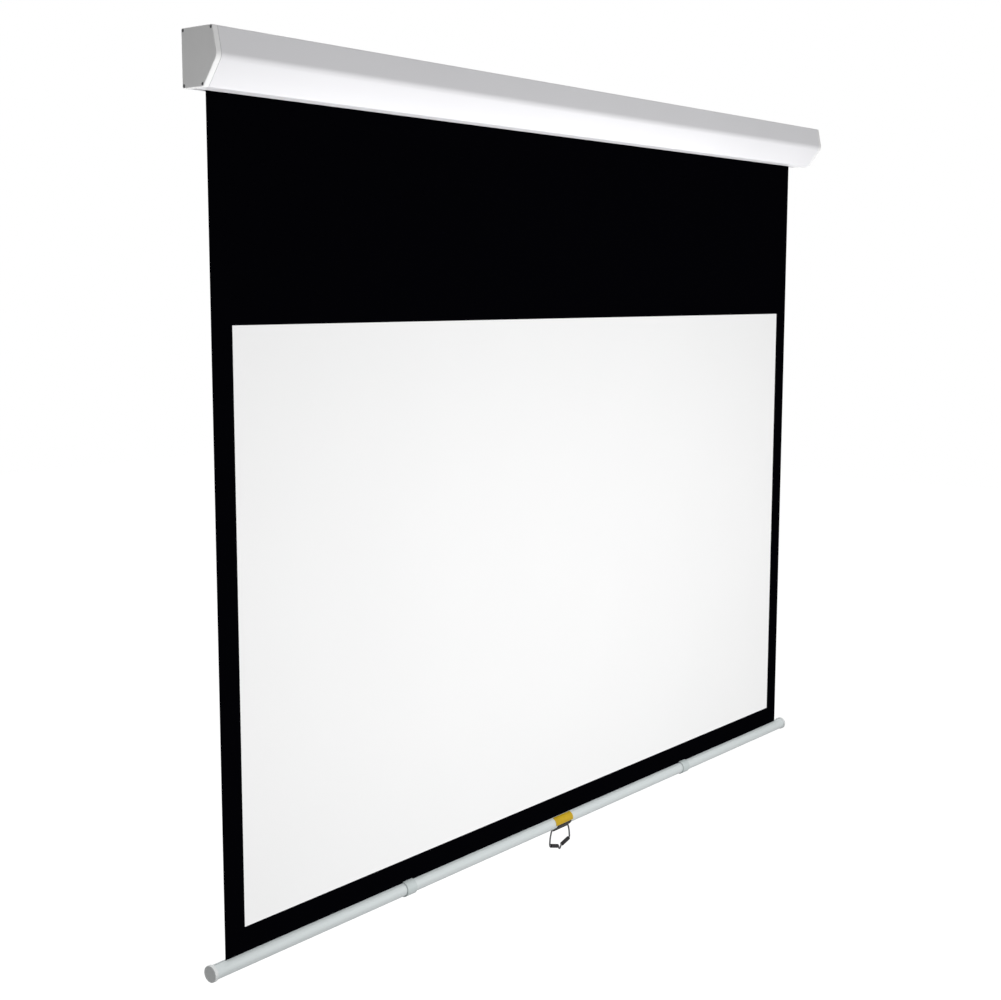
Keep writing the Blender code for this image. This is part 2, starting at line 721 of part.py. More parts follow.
def make_wall_bracket(side, name):
    middle = side * BRACKET_X
    bracket = bar_along_x([bracket_outline()], middle - BRACKET_WIDTH / 2, middle + BRACKET_WIDTH / 2)
    add_part(bracket, name, "zinc_steel")
    radius = BRACKET_SLOT_WIDTH / 2
    run = (BRACKET_SLOT_LENGTH - BRACKET_SLOT_WIDTH) / 2
    for k, z in enumerate(bracket_slot_places()):
        stadium = arc((run, 0.0), radius, -math.pi / 2, math.pi / 2, 8)
        stadium += arc((-run, 0.0), radius, math.pi / 2, 3 * math.pi / 2, 8)
        curve = outline_curve([stadium], BRACKET_STEEL + CUT_PAST)
        curve.rotation_euler = (math.pi / 2, 0.0, 0.0)
        curve.location = (middle, 0.0, z)
        boolean(bracket, as_cutter(closed_mesh(curve), f"{name}_slot_{k}"), "DIFFERENCE")
    hole = upright_rod(LOCK_SCREW_RADIUS + SEAT_GAP, CUT_PAST, 16)
    hole.location = (middle, LOCK_SCREW_Y, CASING_BOTTOM_Z + LOWER_RAIL_FROM_BOTTOM - BRACKET_STEEL / 2)
    boolean(bracket, as_cutter(hole, name + "_lock_hole"), "DIFFERENCE")
    return bracket


def upright_rod(radius, half, steps):
    made = turned([(0.0, half), (radius, half), (radius, -half), (0.0, -half)], steps)
    made.rotation_euler = (0.0, 0.0, 0.0)
    return made


def make_lock_screw(side, name):
    """The thumb-turned screw under a bracket that presses on the lower rail."""
    top = CASING_BOTTOM_Z + LOWER_RAIL_FROM_BOTTOM - SEAT_GAP
    head_top = top - LOCK_SCREW_LENGTH
    profile = [
        (0.0, top),
        (LOCK_SCREW_RADIUS, top),
        (LOCK_SCREW_RADIUS, head_top),
        (LOCK_HEAD_RADIUS, head_top),
        (LOCK_HEAD_RADIUS, head_top - LOCK_HEAD_HEIGHT),
        (0.0, head_top - LOCK_HEAD_HEIGHT),
    ]
    screw = turned(profile, 16)
    screw.rotation_euler = (0.0, 0.0, 0.0)
    screw.location = (side * BRACKET_X, LOCK_SCREW_Y, 0.0)
    add_part(screw, name, "dark_steel")


# Roller: the tube and what turns with it


def groove_loops():
    """The tube's section: a round wall with an inward groove for the cloth's key strip."""
    half = GROOVE_WIDTH / 2
    floor = ROLLER_RADIUS - GROOVE_DEPTH
    outer_turn = math.asin(half / ROLLER_RADIUS)
    outer = arc((0.0, 0.0), ROLLER_RADIUS, math.pi / 2 + outer_turn, 5 * math.pi / 2 - outer_turn, 40)
    outer += [(half, floor), (-half, floor)]
    wide = half + ROLLER_WALL
    inner_turn = math.asin(wide / ROLLER_BORE)
    inner = arc((0.0, 0.0), ROLLER_BORE, math.pi / 2 + inner_turn, 5 * math.pi / 2 - inner_turn, 40)
    inner += [(wide, floor - ROLLER_WALL), (-wide, floor - ROLLER_WALL)]
    return [outer, inner]


def make_roller_tube(axis):
    tube = bar_along_x(groove_loops(), -ROLLER_HALF, ROLLER_HALF)
    add_part(tube, "roller_tube", "mill_aluminium", axis)
    strip_low = (-GROOVE_WIDTH / 2 + SEAT_GAP, ROLLER_RADIUS - GROOVE_DEPTH + SEAT_GAP)
    strip_high = (GROOVE_WIDTH / 2 - SEAT_GAP, ROLLER_RADIUS - SEAT_GAP)
    strip = bar_along_x([rectangle(strip_low, strip_high)], -CLOTH_WIDTH / 2, CLOTH_WIDTH / 2)
    add_part(strip, "cloth_key_strip", "nylon", axis)


def cut_keyway(obj, name, x_from, x_to):
    """Cuts the room for the tube's groove along a plug."""
    half = GROOVE_WIDTH / 2 + ROLLER_WALL + SEAT_GAP
    low = (-half, ROLLER_RADIUS - GROOVE_DEPTH - ROLLER_WALL - SEAT_GAP)
    key = bar_along_x([rectangle(low, (half, ROLLER_RADIUS + CUT_PAST))], x_from, x_to)
    boolean(obj, as_cutter(key, name + "_keyway", obj.parent), "DIFFERENCE")


def make_winding(axis):
    """The safety wraps: one strip of cloth in a spiral, whose outer end leaves downward at the back."""
    steps = round(WRAP_TURNS * WRAP_STEPS)
    centre_line = []
    for k in range(steps + 1):
        angle = WRAP_TURNS * 2 * math.pi * k / steps
        centre_line.append((angle, WINDING_RADIUS - WRAP_PITCH * angle / (2 * math.pi)))
    half = CLOTH_THICKNESS / 2
    outside = [((r + half) * math.cos(a), (r + half) * math.sin(a)) for a, r in centre_line]
    inside = [((r - half) * math.cos(a), (r - half) * math.sin(a)) for a, r in centre_line]
    loop = outside + inside[::-1]
    winding = bar_along_x([loop], -CLOTH_WIDTH / 2, CLOTH_WIDTH / 2)
    add_part(winding, "cloth_winding", "black_cloth", axis)
    middle = [(0.0, r * math.cos(a), r * math.sin(a)) for a, r in centre_line]
    print_least_gap("cloth winding", middle, CLOTH_THICKNESS, WRAP_STEPS // 2)


def make_spring_plug(axis):
    """The plug in the tube's left end: a flange, a barrel with a keyway, and a bearing for the spindle."""
    x_face = -FLANGE_OUTER
    x_seat = -ROLLER_HALF - SEAT_GAP
    x_end = x_seat + PLUG_LENGTH
    bore = SPINDLE_RADIUS + RUNNING_GAP
    profile = [
        (BARREL_OF_PLUG, x_end),
        (BARREL_OF_PLUG, x_seat),
        (ROLLER_RADIUS, x_seat),
        (ROLLER_RADIUS, x_face),
        (bore, x_face),
        (bore, x_seat + FLANGE_THICKNESS),
        (PLUG_HUB_RADIUS, x_seat + FLANGE_THICKNESS * 2),
        (PLUG_HUB_RADIUS, x_end),
    ]
    plug = add_part(turned(profile, 28, closed=True), "spring_end_plug", "nylon", axis)
    cut_keyway(plug, "spring_end_plug", x_seat, x_end + CUT_PAST)
    for k, place in enumerate(pawl_pivots()):
        hole = bar_along_x([circle(place, PAWL_PIN_RADIUS + SEAT_GAP, 16)], x_face - CUT_PAST, x_seat)
        boolean(plug, as_cutter(hole, f"pawl_pin_hole_{k}", axis), "DIFFERENCE")
    for k, place in enumerate(stop_peg_places()):
        root = x_face + FLANGE_THICKNESS / 2
        peg = bar_along_x([circle(place, PAWL_NOSE_RADIUS, 12)], pin_tip_x(), root)
        boolean(plug, as_cutter(peg, f"stop_peg_{k}", axis), "UNION")


def pawl_pivots():
    """Where the two pawls pivot, round the roller's axis."""
    return [
        (PAWL_PIVOT_RADIUS * math.cos(a), PAWL_PIVOT_RADIUS * math.sin(a))
        for a in (math.pi / 4, math.pi / 4 + math.pi)
    ]


def pawl_nose():
    """The first pawl's nose, which rides just clear of the ratchet's rim, ahead of its pivot."""
    radius = RATCHET_RADIUS + RUNNING_GAP + PAWL_NOSE_RADIUS
    angle = math.pi / 4 + PAWL_REACH_ANGLE
    return (radius * math.cos(angle), radius * math.sin(angle))


def stop_peg_places():
    """Pegs that the pawls' noses meet when they are thrown right out."""
    pivot = Vector(pawl_pivots()[0])
    arm = Vector(pawl_nose()) - pivot
    clear = 2 * PAWL_NOSE_RADIUS + RUNNING_GAP
    swung = math.atan2(arm.y, arm.x) - PAWL_SWING
    tip = pivot + arm.length * Vector((math.cos(swung), math.sin(swung)))
    aside = Vector((math.sin(swung), -math.cos(swung))) * clear
    peg = tip + aside
    return [tuple(peg), tuple(-peg)]


def make_pawl_pin(axis, name, place):
    """A pivot pin pressed in the plug's flange."""
    pin = rod(PAWL_PIN_RADIUS, pin_tip_x(), -ROLLER_HALF - 2 * SEAT_GAP, 16)
    add_part(put(pin, None, *place), name, "zinc_steel", axis)


def pin_tip_x():
    return PAWL_X - PAWL_WIDTH / 2 - SEAT_GAP


def make_pawl(name, pivot_empty, turn):
    """A tapered pawl round its pivot, made for the first place and turned half round for the other."""
    pivot = Vector(pawl_pivots()[0])
    nose = Vector(pawl_nose()) - pivot
    if turn:
        nose = -nose
    loops = [
        tapered_link((0.0, 0.0), PAWL_EYE_RADIUS, nose, PAWL_NOSE_RADIUS, 6),
        circle((0.0, 0.0), PAWL_PIN_RADIUS + RUNNING_GAP, 16),
    ]
    pawl = bar_along_x(loops, -PAWL_WIDTH / 2, PAWL_WIDTH / 2)
    add_part(pawl, name, "zinc_steel", pivot_empty)


def make_damper_housing(axis):
    """The damper's cup, keyed in the tube's right end, and the lid that closes it."""
    x_face = FLANGE_OUTER
    x_seat = ROLLER_HALF + SEAT_GAP
    x_end = x_seat - DAMPER_LENGTH
    cup_radius = BARREL_OF_PLUG - GROOVE_DEPTH - DAMPER_WALL
    bore = SPINDLE_RADIUS + RUNNING_GAP
    lid_seat = x_end + LID_THICKNESS + SEAT_GAP
    profile = [
        (ROLLER_RADIUS, x_face),
        (ROLLER_RADIUS, x_seat),
        (BARREL_OF_PLUG, x_seat),
        (BARREL_OF_PLUG, x_end),
        (cup_radius, x_end),
        (cup_radius, x_seat - DAMPER_WALL),
        (bore, x_seat - DAMPER_WALL),
        (bore, x_face),
    ]
    cup = add_part(turned(profile, 28, closed=True), "damper_housing", "nylon", axis)
    cut_keyway(cup, "damper_housing", x_end - CUT_PAST, x_seat)
    lid_profile = [
        (0.0, lid_seat - SEAT_GAP),
        (cup_radius - SEAT_GAP, lid_seat - SEAT_GAP),
        (cup_radius - SEAT_GAP, x_end),
        (0.0, x_end),
    ]
    add_part(turned(lid_profile, 28), "damper_lid", "nylon", axis)


# Fixed pieces inside the roller


def make_tanged_shaft(name, side, x_inner, finish):
    """A round shaft held by a plate: its outer end is a flat tang."""
    shaft = put(rod(SPINDLE_RADIUS, side * ROD_START, x_inner), ROLLER_CENTRE)
    add_part(shaft, name, finish, ROLLER_CENTRE)
    overlap = side * (ROD_START - SPINDLE_RADIUS)
    low = (min(overlap, side * TANG_END), -TANG_THICKNESS / 2, -SPINDLE_RADIUS * 0.98)
    high = (max(overlap, side * TANG_END), TANG_THICKNESS / 2, SPINDLE_RADIUS * 0.98)
    tang = as_cutter(box_between(low, high), name + "_tang", ROLLER_CENTRE)
    boolean(shaft, tang, "UNION")


def ratchet_outline():
    """A disc with two saw-toothed notches that stop a pawl moving towards +Z at the back."""
    outline = []
    for k in range(2):
        wall = math.pi * k
        run = math.pi - NOTCH_RAMP
        outline += arc((0.0, 0.0), RATCHET_RADIUS, wall, wall + run, 12)
        deep = RATCHET_RADIUS - NOTCH_DEPTH
        outline.append((deep * math.cos(wall + math.pi), deep * math.sin(wall + math.pi)))
    return outline


def make_ratchet():
    loops = [ratchet_outline(), circle((0.0, 0.0), SPINDLE_RADIUS + SEAT_GAP, 24)]
    wheel = bar_along_x(loops, PAWL_X - RATCHET_WIDTH / 2, PAWL_X + RATCHET_WIDTH / 2)
    add_part(wheel, "ratchet_wheel", "zinc_steel", ROLLER_CENTRE)


def spring_stations():
    """The spring's first and last x, between the plug's end and the anchor's face."""
    start = -ROLLER_HALF - SEAT_GAP + PLUG_LENGTH + SEAT_GAP
    lead = 4 * SPRING_WIRE_RADIUS
    end = start + 2 * lead + SPRING_TURNS * SPRING_PITCH
    return start, lead, end


def make_spring():
    """One unbroken coil whose straight ends meet the plug and the anchor square on."""
    start, lead, end = spring_stations()
    points = [(start, SPRING_RADIUS, 0.0)]
    for k in range(SPRING_TURNS * SPRING_POINTS + 1):
        turn = k / SPRING_POINTS
        angle = 2 * math.pi * turn
        x = start + lead + SPRING_PITCH * turn
        points.append((x, SPRING_RADIUS * math.cos(angle), SPRING_RADIUS * math.sin(angle)))
    points.append((end, SPRING_RADIUS, 0.0))
    spring = wire(points, SPRING_WIRE_RADIUS, 4)
    add_part(spring, "torsion_spring", "spring_steel", ROLLER_CENTRE)
    print_least_gap("torsion spring", points, 2 * SPRING_WIRE_RADIUS, SPRING_POINTS // 2)


def make_spring_anchor():
    """The hub fixed on the spindle's inner end. It takes the spring's still end and steadies the tube."""
    _, _, end = spring_stations()
    x_face = end + SEAT_GAP
    x_end = x_face + ANCHOR_THICKNESS
    rim = ROLLER_BORE - GROOVE_DEPTH - ROLLER_WALL - RUNNING_GAP
    profile = [
        (rim, x_end),
        (rim, x_face),
        (SPINDLE_RADIUS + SEAT_GAP, x_face),
        (SPINDLE_RADIUS + SEAT_GAP, x_end),
    ]
    add_part(turned(profile, 32, closed=True), "spring_anchor", "nylon", ROLLER_CENTRE)
    return x_end


def make_damper_rotor():
    """The grooved drum on the damper's shaft, which turns in grease inside the cup."""
    cup_radius = BARREL_OF_PLUG - GROOVE_DEPTH - DAMPER_WALL
    radius = cup_radius - RUNNING_GAP
    x_high = ROLLER_HALF + SEAT_GAP - 2 * DAMPER_WALL
    x_low = x_high - ROTOR_LENGTH
    step = ROTOR_LENGTH / (2 * ROTOR_GROOVES + 1)
    profile = []
    for k in range(2 * ROTOR_GROOVES + 1):
        r = radius - (ROTOR_GROOVE_DEPTH if k % 2 else 0.0)
        profile += [(r, x_high - k * step), (r, x_high - (k + 1) * step)]
    bore = SPINDLE_RADIUS + SEAT_GAP
    profile += [(bore, x_low), (bore, x_high)]
    add_part(turned(profile, 20, closed=True), "damper_rotor", "nylon", ROLLER_CENTRE)
    return x_low


# Cloth


def make_cloth():
    """The hanging sheet, from where it leaves the winding down to the hem in the bar."""
    half = CLOTH_WIDTH / 2
    thick = CLOTH_THICKNESS / 2
    top = ROLLER_Z - SEAT_GAP
    bottom = BAR_Z + HEM_Z + HEM_ROD_RADIUS + 2 * SEAT_GAP + CLOTH_THICKNESS
    sheet = box_between((-half, CLOTH_Y - thick, bottom), (half, CLOTH_Y + thick, top))
    add_part(sheet, "screen_cloth", "black_cloth")
    wide = PICTURE_WIDTH / 2
    face = CLOTH_Y - thick - SEAT_GAP
    low = (-wide, face - COATING_THICKNESS, PICTURE_BOTTOM_Z)
    high = (wide, face, PICTURE_TOP_Z)
    add_part(box_between(low, high), "picture_surface", "matte_white")


# Bottom bar


def make_bar_tube(bar):
    """An extruded tube with a keyhole channel along its top for the cloth's hem."""
    loops = [circle((0.0, 0.0), BAR_RADIUS, 40), circle((0.0, 0.0), BAR_RADIUS - BAR_WALL, 32)]
    tube = bar_along_x(loops, -BAR_TUBE_HALF, BAR_TUBE_HALF)
    add_part(tube, "bar_tube", "bar_enamel", bar)
    channel_outer = HEM_CHANNEL_RADIUS + HEM_CHANNEL_WALL
    solid = bar_along_x([circle((0.0, HEM_Z), channel_outer, 18)], -BAR_TUBE_HALF, BAR_TUBE_HALF)
    boolean(tube, as_cutter(solid, "hem_channel", bar), "UNION")
    past = BAR_TUBE_HALF + CUT_PAST
    bore = bar_along_x([circle((0.0, HEM_Z), HEM_CHANNEL_RADIUS, 16)], -past, past)
    boolean(tube, as_cutter(bore, "hem_bore", bar), "DIFFERENCE")
    slot_loop = rectangle((-HEM_SLOT / 2, HEM_Z), (HEM_SLOT / 2, BAR_RADIUS + CUT_PAST))
    slot = bar_along_x([slot_loop], -past, past)
    boolean(tube, as_cutter(slot, "hem_slot", bar), "DIFFERENCE")


def make_hem(bar):
    """The rod that keeps the cloth in the channel, and the loop of cloth sewn round it."""
    half = CLOTH_WIDTH / 2
    hem_rod = put(rod(HEM_ROD_RADIUS, -half, half, 20), bar, 0.0, HEM_Z)
    add_part(hem_rod, "hem_rod", "nylon", bar)
    inner = HEM_ROD_RADIUS + SEAT_GAP
    loop = put(ring(inner, inner + CLOTH_THICKNESS, -half, half, 20), bar, 0.0, HEM_Z)
    add_part(loop, "hem_loop", "black_cloth", bar)


def make_bar_cap(bar, side, name):
    """A moulded end cap: a rounded head and a spigot cut away to pass the hem channel."""
    x_out = side * BAR_HALF
    x_in = side * (BAR_TUBE_HALF + SEAT_GAP)
    x_tip = x_in - side * BAR_CAP_SPIGOT
    r, soft = BAR_CAP_RADIUS, BAR_CAP_ROUNDING
    spigot = BAR_RADIUS - BAR_WALL - SEAT_GAP
    outer_arc = arc((r - soft, 0.0), soft, math.pi / 2, 0.0, 2)
    profile = [(0.0, x_out)]
    profile += [(a, x_out - side * (soft - b)) for a, b in outer_arc]
    profile += [(r, x_in + side * soft / 2), (r - soft / 2, x_in), (spigot, x_in)]
    profile += [(spigot, x_tip + side * soft), (spigot - soft, x_tip), (0.0, x_tip)]
    if side < 0:
        profile.reverse()
    cap = add_part(turned(profile, 28), name, "bar_plastic", bar)
    passage = HEM_Z - HEM_CHANNEL_RADIUS - HEM_CHANNEL_WALL - SEAT_GAP
    low = (min(x_in, x_tip - side * CUT_PAST), -BAR_RADIUS, passage)
    high = (max(x_in, x_tip - side * CUT_PAST), BAR_RADIUS, BAR_RADIUS)
    boolean(cap, as_cutter(box_between(low, high), name + "_passage", bar), "DIFFERENCE")


def make_collar(bar, side, name):
    """A split ring on the bar that stops against the casing. The cloth passes through its split."""
    middle = side * COLLAR_X
    half, soft = COLLAR_WIDTH / 2, COLLAR_ROUNDING
    inner, outer = BAR_RADIUS + SEAT_GAP, COLLAR_RADIUS
    profile = soft_sleeve(inner, outer, middle - half, middle + half, soft)
    collar = add_part(turned(profile, 28, closed=True), name, "bar_plastic", bar)
    low = (middle - half - CUT_PAST, -COLLAR_SPLIT / 2, 0.0)
    high = (middle + half + CUT_PAST, COLLAR_SPLIT / 2, COLLAR_RADIUS + CUT_PAST)
    boolean(collar, as_cutter(box_between(low, high), name + "_split", bar), "DIFFERENCE")


def band_outline(inner, outer, start, end, steps):
    return arc((0.0, 0.0), outer, start, end, steps) + arc((0.0, 0.0), inner, end, start, steps)


def make_marker(bar):
    """The plain yellow patch stuck round the front of the bar over the handle."""
    inner = BAR_RADIUS + SEAT_GAP
    loop = band_outline(inner, inner + MARKER_THICKNESS, MARKER_TOP, MARKER_BOTTOM, 12)
    patch = bar_along_x([loop], -MARKER_WIDTH / 2, MARKER_WIDTH / 2)
    add_part(patch, "pull_marker", "marker_yellow", bar)


# Handle


def make_clasp(bar):
    """The saddle under the bar, with the barrel that the handle's wire turns in."""
    inner = BAR_RADIUS + SEAT_GAP
    down = -math.pi / 2
    loop = band_outline(
        inner, inner + CLASP_THICKNESS, down - CLASP_HALF_ANGLE, down + CLASP_HALF_ANGLE, 16
    )
    clasp = bar_along_x([loop], -CLASP_WIDTH / 2, CLASP_WIDTH / 2)
    add_part(clasp, "handle_clasp", "handle_rubber", bar)
    barrel_loop = circle((0.0, -HANDLE_DROP), HANDLE_BORE + BARREL_WALL, 16)
    barrel = as_cutter(bar_along_x([barrel_loop], -CLASP_WIDTH / 2, CLASP_WIDTH / 2), "barrel", bar)
    past = CLASP_WIDTH / 2 + CUT_PAST
    room_radius = inner + CLASP_SKIN / 2
    room = as_cutter(bar_along_x([circle((0.0, 0.0), room_radius, 40)], -past, past), "room_for_tube", bar)
    boolean(barrel, room, "DIFFERENCE")
    boolean(clasp, barrel, "UNION")
    passage = bar_along_x([circle((0.0, -HANDLE_DROP), HANDLE_BORE, 12)], -past, past)
    boolean(clasp, as_cutter(passage, "wire_passage", bar), "DIFFERENCE")
    tube = bpy.data.objects["bar_tube"]
    for side, name in ((-1, "left_handle_screw"), (1, "right_handle_screw")):
        place = clasp_screw_place(side, 0.0)
        hole = radial_rod(place, CLASP_SCREW_RADIUS + SEAT_GAP, 0.0, 2 * BAR_RADIUS)
        cutter = as_cutter(hole, name + "_hole", bar)
        boolean(clasp, cutter, "DIFFERENCE")
        boolean(tube, cutter, "DIFFERENCE")
        make_clasp_screw(bar, side, name)


def clasp_screw_place(side, radius):
    """A point on a handle screw's line, at a distance from the bar's axis."""
    outward = Vector((0.0, math.cos(CLASP_SCREW_ANGLE), math.sin(CLASP_SCREW_ANGLE)))
    return Vector((side * CLASP_SCREW_SPACING / 2, 0.0, 0.0)) + outward * radius


def radial_rod(place, radius, low, high):
    """A rod along a handle screw's line, between two distances from the bar's axis."""
    made = turned([(0.0, high), (radius, high), (radius, low), (0.0, low)], 16)
    made.rotation_euler = (CLASP_SCREW_ANGLE - math.pi / 2, 0.0, 0.0)
    made.location = place
    return made


def make_clasp_screw(bar, side, name):
    seat = BAR_RADIUS + 2 * SEAT_GAP + CLASP_THICKNESS
    top = seat + CLASP_SCREW_HEAD_HEIGHT
    tip = BAR_RADIUS - CLASP_SCREW_REACH
    profile = [
        (0.0, top),
        (CLASP_SCREW_HEAD_RADIUS * 0.7, top),
        (CLASP_SCREW_HEAD_RADIUS, seat + CLASP_SCREW_HEAD_HEIGHT * 0.4),
        (CLASP_SCREW_HEAD_RADIUS, seat),
        (CLASP_SCREW_RADIUS, seat),
        (CLASP_SCREW_RADIUS, tip + CLASP_SCREW_RADIUS),
        (0.0, tip),
    ]
    screw = turned(profile, 16)
    screw.rotation_euler = (CLASP_SCREW_ANGLE - math.pi / 2, 0.0, 0.0)
    screw.location = clasp_screw_place(side, 0.0)
    add_part(screw, name, "dark_steel", bar)


def handle_corners():
    """The handle's bends as (x, z, radius) below its axis, from the shoulder down to the tip."""
    return [
        (HANDLE_SHOULDER, 0.0, HANDLE_SHOULDER_BEND),
        (HANDLE_WAIST, -HANDLE_WAIST_DROP, HANDLE_WAIST_BEND),
        (HANDLE_HALF_WIDTH, -HANDLE_SIDE_DROP, HANDLE_CORNER_BEND),
        (HANDLE_KNEE, -HANDLE_KNEE_DROP, HANDLE_TIP_BEND),
        (0.0, -HANDLE_TIP_DROP, HANDLE_TIP_BEND),
    ]


def handle_path():
    """The wire's centre line: two butted ends in the clasp, the sides, and the foot with its tip."""
    right = [(Vector((x, 0.0, z)), radius) for x, z, radius in handle_corners()]
    left = [(Vector((-x, 0.0, z)), radius) for x, z, radius in handle_corners()[:-1]]
    start = (Vector((-HANDLE_END_GAP / 2, 0.0, 0.0)), 0.0)
    end = (Vector((HANDLE_END_GAP / 2, 0.0, 0.0)), 0.0)
    return fillet_path([start] + left + right[::-1] + [end], 3)


def make_handle(pivot):
    wire_body = wire(handle_path(), HANDLE_WIRE_RADIUS, 8)
    add_part(wire_body, "handle_wire", "handle_wire", pivot)
    for side, name in ((-1, "left_grip_sleeve"), (1, "right_grip_sleeve")):
        corner = Vector((side * HANDLE_HALF_WIDTH, 0.0, -HANDLE_SIDE_DROP))
        knee = Vector((side * HANDLE_KNEE, 0.0, -HANDLE_KNEE_DROP))
        along = (knee - corner).normalized()
        start = corner + along * GRIP_FROM_CORNER
        end = knee - along * GRIP_FROM_KNEE
        make_grip(pivot, start, end, name)


def make_grip(pivot, start, end, name):
    """A rubber sleeve on one side of the handle's foot, with rounded ends."""
    half = (end - start).length / 2
    soft = GRIP_RADIUS / 3
    inner = HANDLE_WIRE_RADIUS + SEAT_GAP
    profile = soft_sleeve(inner, GRIP_RADIUS, -half, half, soft)
    sleeve = turned(profile, 16, closed=True)
    sleeve.rotation_mode = "QUATERNION"
    sleeve.rotation_quaternion = (end - start).to_track_quat("Z", "Y")
    sleeve.location = (start + end) / 2
    add_part(sleeve, name, "handle_rubber", pivot)


clear_scene()
PARTS = new_collection("projector_screen")
CUTTERS = new_collection("cutters")

ROLLER_CENTRE = joint_empty("roller_centre", (0.0, ROLLER_Y, ROLLER_Z))
ROLLER_AXIS = joint_empty("roller_axis", (0.0, ROLLER_Y, ROLLER_Z))
BAR_CENTRE = joint_empty("bar_centre", (0.0, CLOTH_Y, BAR_Z))
HANDLE_PIVOT = joint_empty("handle_pivot", (0.0, 0.0, -HANDLE_DROP), BAR_CENTRE)

make_casing()
for cap_side, end in ((-1, "left"), (1, "right")):
    make_end_cap(cap_side, end + "_end_cap")
    make_cap_screws(cap_side, end + "_cap_screw")
    make_shaft_plate(cap_side, end + "_shaft_plate")
    make_wall_bracket(cap_side, end + "_wall_bracket")
    make_lock_screw(cap_side, end + "_lock_screw")

make_roller_tube(ROLLER_AXIS)
make_winding(ROLLER_AXIS)
make_spring_plug(ROLLER_AXIS)
make_damper_housing(ROLLER_AXIS)
for pawl, (pawl_y, pawl_z) in zip(("front_pawl", "rear_pawl"), pawl_pivots()):
    pawl_empty = joint_empty(pawl + "_pivot", (PAWL_X, pawl_y, pawl_z), ROLLER_AXIS)
    make_pawl(pawl, pawl_empty, pawl_y < 0)
    make_pawl_pin(ROLLER_AXIS, pawl + "_pin", (pawl_y, pawl_z))

make_spring()
anchor_end = make_spring_anchor()
make_tanged_shaft("spring_spindle", -1, anchor_end, "zinc_steel")
make_ratchet()
rotor_end = make_damper_rotor()
make_tanged_shaft("damper_shaft", 1, rotor_end, "zinc_steel")

make_cloth()
make_bar_tube(BAR_CENTRE)
make_hem(BAR_CENTRE)
for bar_side, end in ((-1, "left"), (1, "right")):
    make_bar_cap(BAR_CENTRE, bar_side, end + "_bar_cap")
    make_collar(BAR_CENTRE, bar_side, end + "_stop_collar")
make_marker(BAR_CENTRE)
make_clasp(BAR_CENTRE)
make_handle(HANDLE_PIVOT)

print(f"roller axis y {ROLLER_Y:.5f} z {ROLLER_Z:.5f}, bar y {CLOTH_Y:.5f} z {BAR_Z:.5f}")
print(f"travel {TRAVEL:.4f} m, handle axis z {BAR_Z - HANDLE_DROP:.5f}, pawls at x {PAWL_X:.5f}")
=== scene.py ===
"""Builds a wall-hung pull down projector screen, dressed over its solids.

Metres, +X to the viewer's right, +Y into the wall, +Z up.
"""

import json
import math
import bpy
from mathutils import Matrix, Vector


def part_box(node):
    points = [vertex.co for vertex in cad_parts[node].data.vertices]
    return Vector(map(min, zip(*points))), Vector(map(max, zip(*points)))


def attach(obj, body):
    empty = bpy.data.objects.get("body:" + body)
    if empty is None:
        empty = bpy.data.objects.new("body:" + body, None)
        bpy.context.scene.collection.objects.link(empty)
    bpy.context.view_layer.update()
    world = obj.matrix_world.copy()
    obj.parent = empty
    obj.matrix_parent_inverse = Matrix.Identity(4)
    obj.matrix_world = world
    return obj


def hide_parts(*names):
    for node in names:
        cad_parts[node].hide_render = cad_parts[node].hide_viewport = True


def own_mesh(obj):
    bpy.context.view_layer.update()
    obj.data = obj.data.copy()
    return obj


bl_info = {
    "name": "Pull Down Projector Screen",
    "version": (1, 0, 0),
    "blender": (4, 5, 0),
    "location": "View3D > Sidebar > Projector Screen",
    "description": "Builds a pull down projector screen, one operator for each group of pieces",
    "category": "Add Mesh",
}

import bmesh
import bpy
from bpy.props import FloatProperty, FloatVectorProperty, IntProperty, PointerProperty
from mathutils import Matrix, Vector

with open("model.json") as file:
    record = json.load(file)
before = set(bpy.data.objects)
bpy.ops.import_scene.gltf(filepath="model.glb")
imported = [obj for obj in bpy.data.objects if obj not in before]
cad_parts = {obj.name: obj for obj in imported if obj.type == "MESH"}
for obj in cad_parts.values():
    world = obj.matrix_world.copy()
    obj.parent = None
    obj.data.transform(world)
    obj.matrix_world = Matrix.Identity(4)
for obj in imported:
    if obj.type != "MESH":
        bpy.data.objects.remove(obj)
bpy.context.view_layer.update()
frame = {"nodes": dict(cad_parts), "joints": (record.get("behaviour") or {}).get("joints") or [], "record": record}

CASING_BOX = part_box("left_end_cap")
BAR_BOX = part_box("bar_tube")
CLOTH_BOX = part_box("screen_cloth")
PICTURE_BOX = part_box("picture_surface")
SIDES = {"left": -1, "right": 1}
CORNERS = ("low_back", "top_back", "top_front", "low_front")
QUARTER, FULL = math.pi / 2, 2 * math.pi

# Clearance between fitted pieces, and the reach of cutters past what they cut
SEAT_GAP = 0.0003
OVERRUN = 0.01
RECESS_OVERRUN = 0.002

# Distance at which points are joined
WELD = 1e-6

# Corner radii of the casing's small profiles, where they meet the wall and where they show
BURIED, INSIDE, EASED, LIP_EDGE, OUTSIDE = 0.0001, 0.0003, 0.0004, 0.0005, 0.0006

